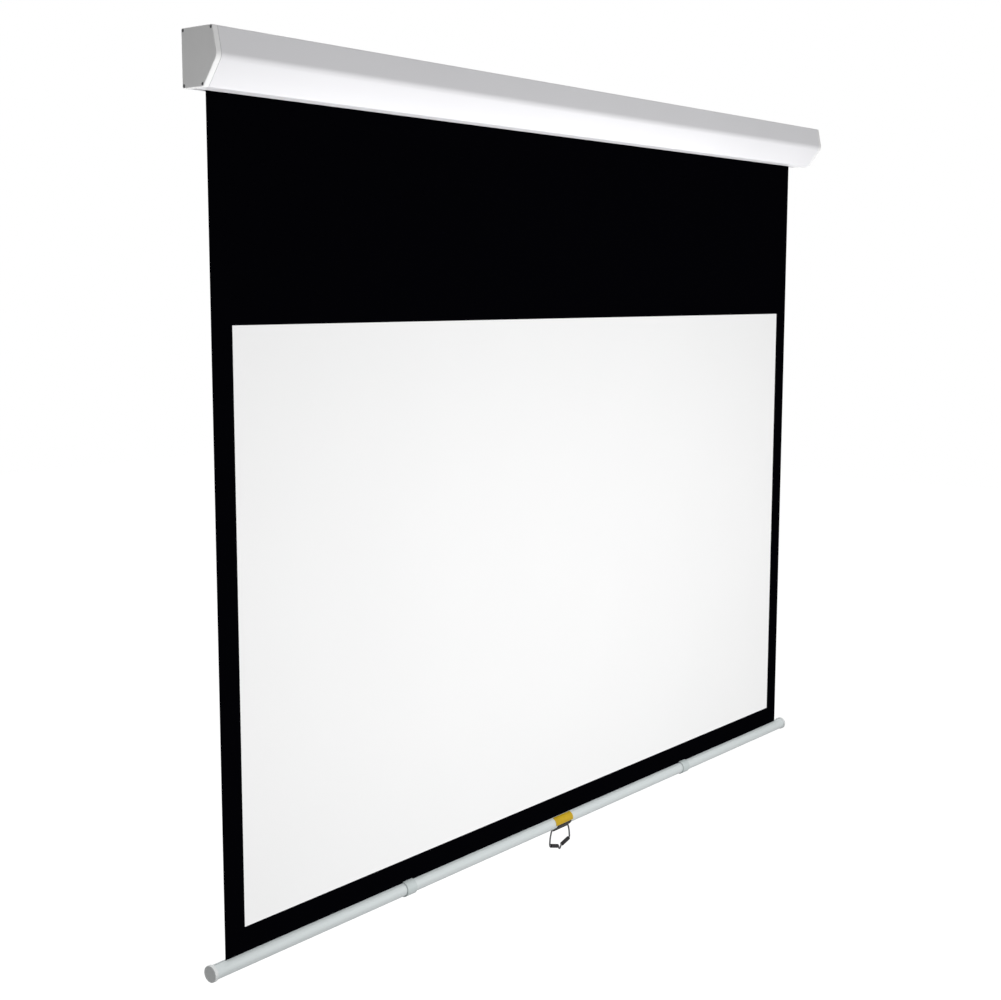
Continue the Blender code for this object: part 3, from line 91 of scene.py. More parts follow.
# Screws. A crown is shares of the head's radius with depths below its top, and a point is shares
# of the shank's radius with heights above the tip
CAP_SCREW = {
    "shank": 0.0012,
    "head": 0.0016,
    "crown": ((0.0, 0.0), (0.45, 0.00005), (0.75, 0.0003), (0.93, 0.0007), (1.0, 0.0012)),
    "thread_stop": 0.0014,
    "point": ((0.75, 0.0012), (0.0, 0.0)),
}
CLASP_SCREW = {
    "shank": 0.0013,
    "head": 0.0015,
    "crown": ((0.0, 0.0), (0.5, 0.00005), (0.8, 0.0003), (1.0, 0.0009)),
    "thread_stop": 0.0008,
    "point": ((0.0, 0.0),),
}
CLASP_SCREW_RADIUS, CLASP_SCREW_LENGTH = 0.0026, 0.0086
LOCK_SCREW_SHANK, LOCK_SCREW_HEAD = 0.0015, 0.0024
THREAD_ROOT, THREAD_CREST = 0.8, 0.99
THREAD_PITCH, FINE_PITCH, THREAD_RELIEF = 0.0009, 0.0007, 0.0006
CROSS_REACH, CROSS_HALF, RECESS_DEPTH = 0.52, 0.085, 0.0009

# Points round the screws, the bores, the turned pieces and the bar's caps
SCREW_SIDES, BORE_SIDES, TURNED_SIDES, BAR_CAP_SIDES = 24, 32, 40, 64

# Columns and rows that the two flat sheets are divided into
CLOTH_GRID, PICTURE_GRID = (24, 20), (16, 12)

# Weave of the cloth, in bands a metre
WEAVE = 620.0

# Stage. Each lamp has its place, its target, its width and height, and its power
LAMPS = {
    "front_lamp": ((0.0, -1.9, -1.05), (0.0, 0.0, -1.4), (3.6, 2.0), 41.5),
    "strip_under_casing": ((0.0, -0.13, -0.455), (0.0, -0.13, 0.0), (2.8, 0.12), 7.6),
    "lamp_behind": ((0.0, 2.1, 1.3), (0.0, 0.0, -0.6), (3.0, 2.0), 48.0),
}
SURROUNDINGS = 0.465
FLOOR_HEIGHT, FLOOR_SIZE, FLOOR_GLOW = -2.6, 14.0, 0.90
FLOOR_GREY = (0.25, 0.25, 0.25, 1.0)
CAMERA_FROM_PICTURE = (-2.943255, -2.157158, 0.635898)
CAMERA_TURN = (82.35326, -0.09969, -51.45801)
CAMERA_LENS, CAMERA_SENSOR = 56.102, 36.0
WHITE = (1.0, 1.0, 1.0, 1.0)


def middle(box):
    return (box[0] + box[1]) / 2


def across(box, side):
    """A box's ends along X, the outer one first, for a piece on that side of the screen."""
    low, high = box
    return (high.x, low.x) if side > 0 else (low.x, high.x)


def radius_of(box):
    """The radius of a round piece that lies along X."""
    return (box[1].y - box[0].y) / 2


def find_joint(name):
    return next(joint for joint in frame["joints"] if joint["name"] == name)


def axis_of_roller():
    return find_joint("roller_turn")["pos_m"][1:3]


def bar_round():
    """The radius of the bottom bar, and the middle of its round section in (y, z)."""
    radius = radius_of(BAR_BOX)
    return radius, (middle(BAR_BOX).y, BAR_BOX[0].z + radius)


# Sizes and finishes that a user may change


def length(name, description, default):
    return FloatProperty(
        name=name, description=description, default=default, min=0.0, unit="LENGTH", precision=4
    )


def angle(name, description, degrees):
    return FloatProperty(
        name=name, description=description, default=math.radians(degrees), subtype="ANGLE"
    )


def colour(name, description, default):
    return FloatVectorProperty(
        name=name,
        description=description,
        default=default,
        subtype="COLOR",
        size=3,
        min=0.0,
        max=1.0,
    )


class CasingSizes(bpy.types.PropertyGroup):
    """The section of the casing, its rails and its end caps"""

    top_depth: length("Top depth", "Depth of the flat top", 0.0803)
    nose_height: length("Nose height", "Height of the front edge above the floor", 0.0495)
    nose_depth: length("Nose depth", "Depth at the front edge, before it is rounded", 0.0909)
    floor_depth: length("Floor depth", "Depth of the floor", 0.0545)
    wall: length("Wall", "Thickness of the extrusion", 0.0016)
    back_radius: length("Back corners", "Radius of the two back corners", 0.003)
    front_radius: length("Front corners", "Radius of the top and bottom front corners", 0.004)
    nose_radius: length("Nose radius", "Radius of the front edge", 0.020)
    slot_room: length("Slot room", "Room in front of the cloth in the floor's slot", 0.0075)
    lip_height: length("Lip height", "Height of the lip along the slot's front", 0.0066)
    port_radius: length("Port radius", "Outer radius of the screw ports", 0.0032)
    port_bore: length("Port bore", "Radius of the bore in the screw ports", 0.0016)
    port_slit: length("Port slit", "Width of the slit along the screw ports", 0.0014)
    screw_inset: length("Screw inset", "Distance of the cap screws from the sides", 0.0044)
    upper_rail: length("Upper rail", "Distance of the hooked rail from the top", 0.012)
    lower_rail: length("Lower rail", "Distance of the plain rail from the floor", 0.014)
    rail_hook: length("Rail hook", "Height of the hooked rail's lip", 0.007)
    cap_face: length("Cap face", "Thickness of the end caps' outer face", 0.0032)
    cap_skirt: length("Cap skirt", "Thickness of the end caps' rim", 0.0022)
    cap_rounding: length("Cap rounding", "Radius of the end caps' outer edge", 0.0018)
    cap_rib: length("Cap rib", "Thickness of the ribs inside the end caps", 0.0016)
    rib_offset: length("Rib offset", "Distance of the ribs from the roller's axis", 0.0085)
    seam_edge: length("Seam edge", "Easing of the two edges at each end cap's seam", 0.0005)


class BracketSizes(bpy.types.PropertyGroup):
    """The folded wall brackets"""

    steel: length("Steel", "Thickness of the strip", 0.0025)
    fold: length("Fold", "Outer radius of the folds", 0.0028)
    tongue: length("Tongue", "Rise of the tongue behind the casing's hooked rail", 0.0054)
    slot_width: length("Slot width", "Height of the two level screw slots", 0.0055)
    slot_length: length("Slot length", "Length of the two level screw slots", 0.012)
    slot_spacing: length("Slot spacing", "Distance of one screw slot above the other", 0.036)


class ClothSizes(bpy.types.PropertyGroup):
    """The cloth that stays wound on the roller"""

    wrap_pitch: length("Wrap pitch", "Growth of the roll's radius with each turn", 0.00085)
    wrap_turns: FloatProperty(
        name="Wrap turns", description="Turns left on the roller", default=2.75, min=1.0, max=4.0
    )
    rolled_border: length("Rolled border", "Black cloth under the picture, rolled up", 0.018)


class BarSizes(bpy.types.PropertyGroup):
    """The bottom bar and its fittings"""

    wall: length("Wall", "Thickness of the bar's tube", 0.0013)
    slot: length("Hem slot", "Width of the slot that the cloth enters by", 0.0024)
    channel: length("Hem channel", "Radius of the channel that holds the hem", 0.0043)
    channel_wall: length("Channel wall", "Thickness of the channel", 0.0011)
    cap_head: length("Cap head", "Length of the bar caps outside the tube", 0.0077)
    cap_rounding: length("Cap rounding", "Radius of the bar caps' outer edge", 0.0014)
    collar_split: length("Collar split", "Width of the split in the stop collars", 0.0016)
    collar_rounding: length("Collar rounding", "Radius of the stop collars' edges", 0.0007)
    marker_film: length("Marker film", "Thickness of the yellow patch", 0.0003)
    marker_corner: length("Marker corner", "Corner radius of the yellow patch", 0.002)


class HandleSizes(bpy.types.PropertyGroup):
    """The wire handle, its rubber sleeves and its clasp"""

    wire: length("Wire", "Radius of the wire", 0.0020)
    wire_sides: IntProperty(
        name="Wire sides", description="Points round the wire", default=20, min=8, max=48
    )
    shoulder: length("Shoulder", "Half the width at the shoulders", 0.0325)
    shoulder_bend: length("Shoulder bend", "Bend radius of the shoulders", 0.0055)
    waist: length("Waist", "Half the width partway down the sides", 0.0385)
    waist_drop: length("Waist drop", "Drop of the waist below the axis", 0.015)
    waist_bend: length("Waist bend", "Bend radius of the sides", 0.060)
    half_width: length("Half width", "Half the width at the lower corners", 0.0405)
    side_drop: length("Side drop", "Drop of the lower corners below the axis", 0.0355)
    corner_bend: length("Corner bend", "Bend radius of the lower corners", 0.004)
    knee: length("Knee", "Half the width where the pointed tip starts", 0.0062)
    knee_drop: length("Knee drop", "Drop of the tip's start below the axis", 0.0455)
    tip_drop: length("Tip drop", "Drop of the tip below the axis, before it is rounded", 0.0560)
    tip_bend: length("Tip bend", "Bend radius of the tip and of its start", 0.0028)
    grip: length("Grip", "Radius of the rubber sleeves", 0.0047)
    grip_from_corner: length("Grip from corner", "Distance of a sleeve from the corner", 0.0036)
    grip_from_knee: length("Grip from knee", "Distance of a sleeve from the tip's start", 0.0015)
    clasp: length("Clasp", "Thickness of the clasp", 0.0020)
    clasp_reach: angle("Clasp reach", "How far the clasp goes round the bar to each side", 74.0)
    barrel_wall: length("Barrel wall", "Thickness of the barrel round the wire", 0.0010)
    wire_play: length("Wire play", "Clearance of the wire in the barrel", 0.0004)
    screw_spacing: length("Screw spacing", "Distance between the clasp's screws", 0.036)
    screw_lean: angle("Screw lean", "Turn of the clasp's screws about the bar", -42.0)


class Finishes(bpy.types.PropertyGroup):
    """The colours of the pieces, named by their material slots, and of the stop collars"""

    white_enamel: colour("Casing enamel", "White powder coat on the casing", (0.645, 0.642, 0.660))
    cap_plastic: colour("End caps", "Moulded end caps", (0.72, 0.72, 0.72))
    black_cloth: colour("Black cloth", "Back and borders of the cloth", (0.0008, 0.0008, 0.0014))
    matte_white: colour("Picture", "Matte white projection coating", (0.955, 0.955, 0.955))
    bar_enamel: colour("Bar enamel", "Pale grey enamel on the bottom bar", (0.612, 0.655, 0.658))
    bar_plastic: colour("Bar caps", "Moulded caps on the bar", (0.67, 0.69, 0.69))
    collar_plastic: colour("Stop collars", "Moulded split collars on the bar", (0.52, 0.57, 0.57))
    marker_yellow: colour("Marker", "Yellow patch over the handle", (0.53, 0.34, 0.004))
    handle_rubber: colour("Rubber", "Grip sleeves and clasp", (0.012, 0.011, 0.012))
    handle_wire: colour("Handle wire", "Dark steel wire", (0.075, 0.075, 0.08))
    zinc_steel: colour("Zinc plate", "Plated brackets, plates and shafts", (0.62, 0.63, 0.65))
    dark_steel: colour("Screws", "Blackened steel screws", (0.10, 0.10, 0.105))
    mill_aluminium: colour("Bare aluminium", "The tube of the roller", (0.78, 0.79, 0.80))
    spring_steel: colour("Spring", "Oiled spring steel", (0.30, 0.29, 0.29))
    nylon: colour("Nylon", "Moulded plugs and hubs inside the roller", (0.80, 0.79, 0.74))


# Materials


def feed(tree, socket, value):
    """Links an output to a socket, or sets the socket's own value."""
    if isinstance(value, bpy.types.NodeSocket):
        tree.links.new(value, socket)
    else:
        socket.default_value = value


def add_node(tree, kind, inputs, output=0, **settings):
    """Adds a node, feeds its inputs and returns one of its outputs."""
    made = tree.nodes.new("ShaderNode" + kind)
    for key, value in settings.items():
        setattr(made, key, value)
    for key, value in inputs.items():
        feed(tree, made.inputs[key], value)
    return made.outputs[output]


class Surface:
    """A material under construction, with its shader's sockets and its object coordinates."""

    def __init__(self, name, base, roughness, metallic=0.0, specular=0.5):
        self.base = base
        self.material = bpy.data.materials.new(name)
        self.material.use_nodes = True
        self.material.diffuse_color = (*base, 1.0)
        self.tree = self.material.node_tree
        self.shader = self.tree.nodes["Principled BSDF"].inputs
        self.shader["Roughness"].default_value = roughness
        self.shader["Metallic"].default_value = metallic
        self.shader["Specular IOR Level"].default_value = specular
        self.shader["Base Color"].default_value = (*base, 1.0)
        self.place = self.add("TexCoord", {}, "Object")

    def add(self, kind, inputs, output=0, **settings):
        return add_node(self.tree, kind, inputs, output, **settings)

    def stretched(self, scale):
        """Object coordinates stretched differently along each axis."""
        return self.add("Mapping", {"Vector": self.place, "Scale": scale}, "Vector")

    def noise(self, scale, detail=3.0, roughness=0.5, vector=None):
        inputs = {"Vector": vector or self.place, "Scale": scale}
        inputs.update({"Detail": detail, "Roughness": roughness})
        return self.add("TexNoise", inputs, "Fac")

    def cells(self, scale):
        return self.add("TexVoronoi", {"Vector": self.place, "Scale": scale}, "Color")

    def threads(self, direction):
        """Parallel bands along one axis, for a woven cloth."""
        inputs = {"Vector": self.place, "Scale": WEAVE, "Distortion": 0.4, "Detail": 1.0}
        return self.add("TexWave", inputs, "Fac", wave_type="BANDS", bands_direction=direction)

    def math(self, operation, a, b):
        return self.add("Math", {0: a, 1: b}, operation=operation)

    def spread(self, factor, low, high):
        """The middle half of a noise, mapped to a range."""
        inputs = {"Value": factor, "From Min": 0.25, "From Max": 0.75}
        inputs.update({"To Min": low, "To Max": high})
        return self.add("MapRange", inputs, "Result")

    def tint(self, factor, share):
        """Varies the base colour by a share, from darker to lighter."""
        ramp = self.tree.nodes.new("ShaderNodeValToRGB")
        feed(self.tree, ramp.inputs["Fac"], factor)
        ends = zip(ramp.color_ramp.elements, (0.3, 0.7), (1 - share, 1 + share))
        for end, position, scale in ends:
            end.position = position
            end.color = (*(min(1.0, channel * scale) for channel in self.base), 1.0)
        feed(self.tree, self.shader["Base Color"], ramp.outputs["Color"])

    def gloss(self, factor, low, high):
        feed(self.tree, self.shader["Roughness"], self.spread(factor, low, high))

    def bump(self, height, distance, strength):
        inputs = {"Strength": strength, "Distance": distance, "Height": height}
        feed(self.tree, self.shader["Normal"], self.add("Bump", inputs, "Normal"))

    def grained(self, mottle, sheen, grain):
        """Mottled colour, uneven gloss and a raised grain, each from a noise of its own scale.

        The mottle is (scale, detail, share), the sheen is (scale, low, high), and the grain is
        (scale, detail, distance, strength).
        """
        scale, detail, share = mottle
        self.tint(self.noise(scale, detail), share)
        scale, low, high = sheen
        self.gloss(self.noise(scale), low, high)
        scale, detail, distance, strength = grain
        self.bump(self.noise(scale, detail), distance, strength)
        return self.material


def powder_coat(name, base):
    made = Surface(name, base, 0.38, specular=0.3)
    return made.grained((3.0, 2.0, 0.012), (40.0, 0.34, 0.42), (700.0, 2.0, 0.00004, 0.6))


def satin_enamel(name, base):
    """Enamel over fine lines along the bar."""
    made = Surface(name, base, 0.40, specular=0.2)
    lines = made.noise(1.0, 2.0, vector=made.stretched((1.5, 260.0, 260.0)))
    made.tint(lines, 0.02)
    made.gloss(made.noise(60.0), 0.36, 0.46)
    made.bump(lines, 0.00003, 0.5)
    return made.material


def moulded_plastic(name, base, roughness=0.5, grain=1400.0):
    made = Surface(name, base, roughness, specular=0.35)
    sheen = (90.0, roughness - 0.05, roughness + 0.06)
    return made.grained((18.0, 3.0, 0.02), sheen, (grain, 2.0, 0.00005, 0.6))


def zinc_plate(name, base):
    """Zinc plate, whose small crystals differ a little in tone."""
    made = Surface(name, base, 0.38, 1.0)
    made.tint(made.cells(900.0), 0.04)
    made.gloss(made.noise(150.0), 0.30, 0.46)
    made.bump(made.noise(500.0), 0.00003, 0.5)
    return made.material


def blackened_steel(name, base):
    made = Surface(name, base, 0.42, 0.75)
    return made.grained((300.0, 3.0, 0.25), (260.0, 0.34, 0.52), (900.0, 2.0, 0.00003, 0.5))


def drawn_metal(name, base):
    """Bare metal with fine lines along the length it was drawn or extruded."""
    made = Surface(name, base, 0.34, 1.0)
    lines = made.noise(1.0, 4.0, 0.6, made.stretched((6.0, 900.0, 900.0)))
    made.tint(lines, 0.10)
    made.gloss(lines, 0.26, 0.44)
    made.bump(lines, 0.00003, 0.6)
    return made.material


def oiled_spring_steel(name, base):
    made = Surface(name, base, 0.32, 1.0)
    return made.grained((90.0, 4.0, 0.35), (140.0, 0.22, 0.44), (1200.0, 2.0, 0.00002, 0.5))


def black_weave(name, base):
    """Black coated glass-fibre cloth: a flat weave with its threads just raised."""
    made = Surface(name, base, 0.92, specular=0.001)
    weave = made.math("MAXIMUM", made.threads("X"), made.threads("Z"))
    uneven = made.math("MULTIPLY", weave, made.spread(made.noise(25.0), 0.85, 1.0))
    made.tint(uneven, 0.55)
    made.gloss(weave, 0.86, 0.98)
    made.bump(weave, 0.00008, 0.6)
    return made.material


def projection_coating(name, base):
    """Matte white coating with the cloth's weave just showing through it."""
    made = Surface(name, base, 0.95, specular=0.15)
    weave = made.math("MULTIPLY", made.threads("X"), made.threads("Z"))
    grain = made.math("ADD", weave, made.noise(1800.0, 2.0))
    made.tint(made.noise(4.0, 2.0), 0.004)
    made.gloss(grain, 0.90, 1.0)
    made.bump(grain, 0.00002, 0.4)
    return made.material


def printed_film(name, base):
    made = Surface(name, base, 0.42, specular=0.2)
    return made.grained((26.0, 3.0, 0.08), (70.0, 0.36, 0.50), (240.0, 3.0, 0.00003, 0.5))


def moulded_rubber(name, base):
    made = Surface(name, base, 0.62, specular=0.25)
    return made.grained((180.0, 3.0, 0.18), (300.0, 0.54, 0.74), (1600.0, 3.0, 0.00008, 0.7))


def rubbed_wire(name, base):
    made = Surface(name, base, 0.40, 0.55)
    return made.grained((120.0, 4.0, 0.22), (200.0, 0.30, 0.50), (800.0, 2.0, 0.00003, 0.5))


# The maker of each finish, and the roughness and grain of a plastic where it has its own
MAKERS = {
    "white_enamel": (powder_coat,),
    "cap_plastic": (moulded_plastic,),
    "black_cloth": (black_weave,),
    "matte_white": (projection_coating,),
    "bar_enamel": (satin_enamel,),
    "bar_plastic": (moulded_plastic, 0.48),
    "collar_plastic": (moulded_plastic, 0.48),
    "marker_yellow": (printed_film,),
    "handle_rubber": (moulded_rubber,),
    "handle_wire": (rubbed_wire,),
    "zinc_steel": (zinc_plate,),
    "dark_steel": (blackened_steel,),
    "mill_aluminium": (drawn_metal,),
    "spring_steel": (oiled_spring_steel,),
    "nylon": (moulded_plastic, 0.55, 900.0),
}


def material(name):
    """The finish of that name, made the first time that it is asked for."""
    found = bpy.data.materials.get("finish_" + name)
    if found:
        return found
    maker, *options = MAKERS[name]
    tone = getattr(bpy.context.scene.screen_finishes, name)[:]
    return maker("finish_" + name, tone, *options)


# Shapes


def span(start, end, steps):
    return [start + (end - start) * k / steps for k in range(steps + 1)]


def polar(centre, radius, turn):
    return centre[0] + radius * math.cos(turn), centre[1] + radius * math.sin(turn)


def arc(centre, radius, start, end, steps):
    return [polar(centre, radius, turn) for turn in span(start, end, steps)]


# The turns along a rounded edge, from its face to its side
ROUNDING = span(0.0, QUARTER, 6)


def at_corners(corners):
    """The place, radius and ways back and ahead at each (y, z, radius) corner of an outline."""
    places = [Vector(corner[:2]) for corner in corners]
    for k, here in enumerate(places):
        back = (places[k - 1] - here).normalized()
        ahead = (places[(k + 1) % len(places)] - here).normalized()
        yield here, corners[k][2], back, ahead


def inset(corners, distance):
    """The corners of a convex outline, given anticlockwise, with each side moved in."""
    moved = []
    for here, radius, back, ahead in at_corners(corners):
        side_in, side_out = Vector((back.y, -back.x)), Vector((-ahead.y, ahead.x))
        place = here + (side_in + side_out) * (distance / (1 + side_in.dot(side_out)))
        moved.append((*place, max(radius - distance, EASED)))
    return moved


def bend(here, radius, back, ahead):
    """The centre of the arc that rounds a corner, and the ways from it to the arc's ends."""
    half = back.angle(ahead) / 2
    centre = here + (back + ahead).normalized() * (radius / math.sin(half))
    return centre, *(here + way * (radius / math.tan(half)) - centre for way in (back, ahead))


def rounded(corners, step=math.radians(6)):
    """A convex outline, given anticlockwise, with each corner an arc."""
    outline = []
    for here, radius, back, ahead in at_corners(corners):
        centre, spoke, _ = bend(here, radius, back, ahead)
        turn = math.pi - back.angle(ahead)
        first = math.atan2(spoke.y, spoke.x)
        outline += arc(centre, radius, first, first + turn, max(3, math.ceil(turn / step)))
    return outline


def soft_outline(corners):
    """An outline that may turn either way, with a small curve at each corner."""
    outline = []
    for here, radius, back, ahead in at_corners(corners):
        reach = radius / math.tan(back.angle(ahead) / 2)
        start, end = here + back * reach, here + ahead * reach
        for t in span(0, 1, 3):
            outline.append(tuple(start * (1 - t) ** 2 + here * (2 * t * (1 - t)) + end * t ** 2))
    return outline


def moved_in(outline, distance):
    """Points of a smooth outline, given anticlockwise, each moved inwards."""
    moved = []
    for k, (y, z) in enumerate(outline):
        along = (Vector(outline[(k + 1) % len(outline)]) - Vector(outline[k - 1])).normalized()
        moved.append((y - along.y * distance, z + along.x * distance))
    return moved


def add_object(name, data):
    made = bpy.data.objects.new(name, data)
    bpy.context.scene.collection.objects.link(made)
    return made


def to_mesh(shape, name, outwards=True):
    """The mesh of a bmesh, with its normals turned outwards unless they are right already."""
    if outwards:
        bmesh.ops.recalc_face_normals(shape, faces=shape.faces)
    mesh = bpy.data.meshes.new(name)
    shape.to_mesh(mesh)
    shape.free()
    return mesh


def evaluated_mesh(obj):
    bpy.context.view_layer.update()
    depsgraph = bpy.context.evaluated_depsgraph_get()
    return bpy.data.meshes.new_from_object(obj.evaluated_get(depsgraph))


def smooth(obj, angle=30.0):
    """Smooth shading with crisp edges, where wide flat faces keep their own normals."""
    obj.data.shade_smooth()
    obj.data.set_sharp_from_angle(angle=math.radians(angle))
    obj.modifiers.new("even_shading", "WEIGHTED_NORMAL").keep_sharp = True
    return obj


def prism(name, loops, x_from, x_to, softened=0.0):
    """A prism along X with holes. Its loops are in (y, z), and its end edges may be softened."""
    data = bpy.data.curves.new(name, "CURVE")
    data.dimensions = "2D"
    data.fill_mode = "BOTH"
    data.extrude = abs(x_to - x_from) / 2 - softened
    data.bevel_depth = softened
    data.bevel_resolution = 3
    data.offset = -softened
    for loop in loops:
        spline = data.splines.new("POLY")
        spline.points.add(len(loop) - 1)
        for point, place in zip(spline.points, loop):
            point.co = (*place, 0.0, 1.0)
        spline.use_cyclic_u = True
    curve = add_object(name, data)
    mesh = evaluated_mesh(curve)
    bpy.data.objects.remove(curve)
    centre = (x_from + x_to) / 2
    mesh.transform(Matrix(((0, 0, 1, centre), (1, 0, 0, 0), (0, 1, 0, 0), (0, 0, 0, 1))))
    shape = bmesh.new()
    shape.from_mesh(mesh)
    bpy.data.meshes.remove(mesh)
    bmesh.ops.remove_doubles(shape, verts=shape.verts, dist=WELD)
    return smooth(add_object(name, to_mesh(shape, name)))


def lathe(name, profile, sides, placement):
    """A turned solid about X from (radius, x) points. It is closed where the radius is zero."""
    shape = bmesh.new()
    rings = []
    for radius, x in profile:
        turns = span(0.0, FULL, sides)[:-1] if radius else [0.0]
        rings.append([shape.verts.new((x, *polar((0.0, 0.0), radius, turn))) for turn in turns])
    pairs = list(zip(rings, rings[1:]))
    if len(rings[0]) > 1:
        pairs.append((rings[-1], rings[0]))
    for one, two in pairs:
        for k in range(sides):
            here, there = [[ring[turn % len(ring)] for turn in (k, k + 1)] for ring in (one, two)]
            shape.faces.new(dict.fromkeys((here[0], there[0], there[1], here[1])))
    mesh = to_mesh(shape, name)
    mesh.transform(placement)
    return smooth(add_object(name, mesh))


def eased_rim(radius, end, side, soft):
    """Profile points round the rim of a turned piece, from the face at its end to its side."""
    return [
        (radius - soft + soft * math.sin(turn), end - side * soft * (1 - math.cos(turn)))
        for turn in ROUNDING
    ]


def rod(radius, start, end, sides, placement):
    """A cutter for a round hole along X."""
    profile = [(0.0, start), (radius, start), (radius, end), (0.0, end)]
    return lathe("cutter", profile, sides, placement)


def skin(shape, rings):
    """Faces between closed rings of points, and one over each end."""
    rings = [[shape.verts.new(place) for place in ring] for ring in rings]
    for one, two in zip(rings, rings[1:]):
        for face in zip(one, one[1:] + one[:1], two[1:] + two[:1], two):
            shape.faces.new(face)
    shape.faces.new(rings[0])
    shape.faces.new(rings[-1])


def round_wire(name, path, radius, sides):
    """A round wire along a smooth path, with closed ends."""
    pairs = zip(path[:1] + path, path[1:] + path[-1:])
    ways = [(after - before).normalized() for before, after in pairs]
    turns = span(0.0, FULL, sides)[:-1]
    normal = ways[0].orthogonal().normalized()
    rings = []
    for place, way in zip(path, ways):
        normal = (normal - way * normal.dot(way)).normalized()
        level = way.cross(normal)
        spokes = [normal * math.cos(turn) + level * math.sin(turn) for turn in turns]
        rings.append([place + spoke * radius for spoke in spokes])
    shape = bmesh.new()
    skin(shape, rings)
    return smooth(add_object(name, to_mesh(shape, name)), angle=50.0)


def bent_path(corners, steps):
    """A path of Vectors through (point, bend radius) corners, with each bend an arc."""
    path = [corners[0][0]]
    for (before, _), (here, radius), (after, _) in zip(corners, corners[1:], corners[2:]):
        back, ahead = (before - here).normalized(), (after - here).normalized()
        centre, start, end = bend(here, radius, back, ahead)
        turn = start.angle(end)
        for t in span(0, 1, steps):
            shares = [math.sin(part * turn) / math.sin(turn) for part in (1 - t, t)]
            path.append(centre + start * shares[0] + end * shares[1])
    path.append(corners[-1][0])
    return path


def double_sheet(name, layers):
    """A closed sheet from two equal grids of points: both faces, and the rim between them."""
    shape = bmesh.new()
    under, over = [
        [[shape.verts.new(place) for place in line] for line in layer] for layer in layers
    ]
    lines, points = len(under) - 1, len(under[0]) - 1
    for grid in (under, over):
        for a in range(lines):
            for b in range(points):
                shape.faces.new((grid[a][b], grid[a][b + 1], grid[a + 1][b + 1], grid[a + 1][b]))
    rim = [(a, b, a, b + 1) for a in (0, lines) for b in range(points)]
    rim += [(a, b, a + 1, b) for b in (0, points) for a in range(lines)]
    for a, b, c, d in rim:
        shape.faces.new((under[a][b], under[c][d], over[c][d], over[a][b]))
    return add_object(name, to_mesh(shape, name))


def block(low, high, placement=Matrix.Identity(4)):
    """A box-shaped cutter."""
    shape = bmesh.new()
    bmesh.ops.create_cube(shape, size=1.0)
    bmesh.ops.scale(shape, vec=[b - a for a, b in zip(low, high)], verts=shape.verts)
    bmesh.ops.translate(shape, vec=[(a + b) / 2 for a, b in zip(low, high)], verts=shape.verts)
    mesh = to_mesh(shape, "cutter", False)
    mesh.transform(placement)
    return add_object("cutter", mesh)


def carve(obj, cutters, operation="DIFFERENCE"):
    """Cuts the cutters out of a piece, or joins them to it, and removes them."""
    obj.modifiers.clear()
    for cutter in cutters:
        step = obj.modifiers.new("carve", "BOOLEAN")
        step.operation, step.solver, step.object = operation, "EXACT", cutter
    obj.data = evaluated_mesh(obj)
    obj.modifiers.clear()
    for cutter in cutters:
        bpy.data.objects.remove(cutter)
    return smooth(obj)


def join(name, pieces):
    """Several pieces as one object of separate closed bodies."""
    shape = bmesh.new()
    for piece in pieces:
        shape.from_mesh(piece.data)
        bpy.data.objects.remove(piece)
    return smooth(add_object(name, to_mesh(shape, name, False)))


def seat(piece, body, node, slot, finish=None):
    """Puts a piece on its body in place of its solid, with its slot's finish or its own."""
    piece.data.materials.append(material(finish or slot))
    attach(piece, body)
    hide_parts(node)


def casing_corners():
    """The casing's outline in (y, z), anticlockwise seen from +X, from its lower back corner."""
    sizes = bpy.context.scene.screen_casing
    back, bottom, top = CASING_BOX[1].y, CASING_BOX[0].z, CASING_BOX[1].z
    return [
        (back, bottom, sizes.back_radius),
        (back, top, sizes.back_radius),
        (back - sizes.top_depth, top, sizes.front_radius),
        (back - sizes.nose_depth, bottom + sizes.nose_height, sizes.nose_radius),
        (back - sizes.floor_depth, bottom, sizes.front_radius),
    ]


def port_places():
    """The middles of the screw ports, in the order of CORNERS. The nose has none."""
    corners = inset(casing_corners(), bpy.context.scene.screen_casing.screw_inset)
    return [corner[:2] for corner in corners[:3] + corners[4:]]


def cross_screw(name, kind, radius, under, tip, placement):
    """A pan-head screw along X with a cross recess. Under is where its head ends."""
    shank, top = kind["shank"], under + kind["head"]
    profile = [(radius * share, top - depth) for share, depth in kind["crown"]]
    profile += [(radius, under), (shank, under)]
    profile += thread(shank, under - THREAD_RELIEF, tip + kind["thread_stop"], THREAD_PITCH)
    profile += [(shank * share, tip + height) for share, height in kind["point"]]
    reach, half = radius * CROSS_REACH, radius * CROSS_HALF
    recess = [
        block((top - RECESS_DEPTH, -a, -b), (top + RECESS_OVERRUN, a, b), placement)
        for a, b in ((reach, half), (half, reach))
    ]
    return carve(lathe(name, profile, SCREW_SIDES, placement), recess)


def thread(radius, start, end, pitch):
    """Profile points of a fine thread, from its start towards its end along -X."""
    points = []
    for k in range(int((start - end) / pitch)):
        points.append((radius * THREAD_ROOT, start - k * pitch))
        points.append((radius * THREAD_CREST, start - (k + 0.5) * pitch))
    return points


# Pieces


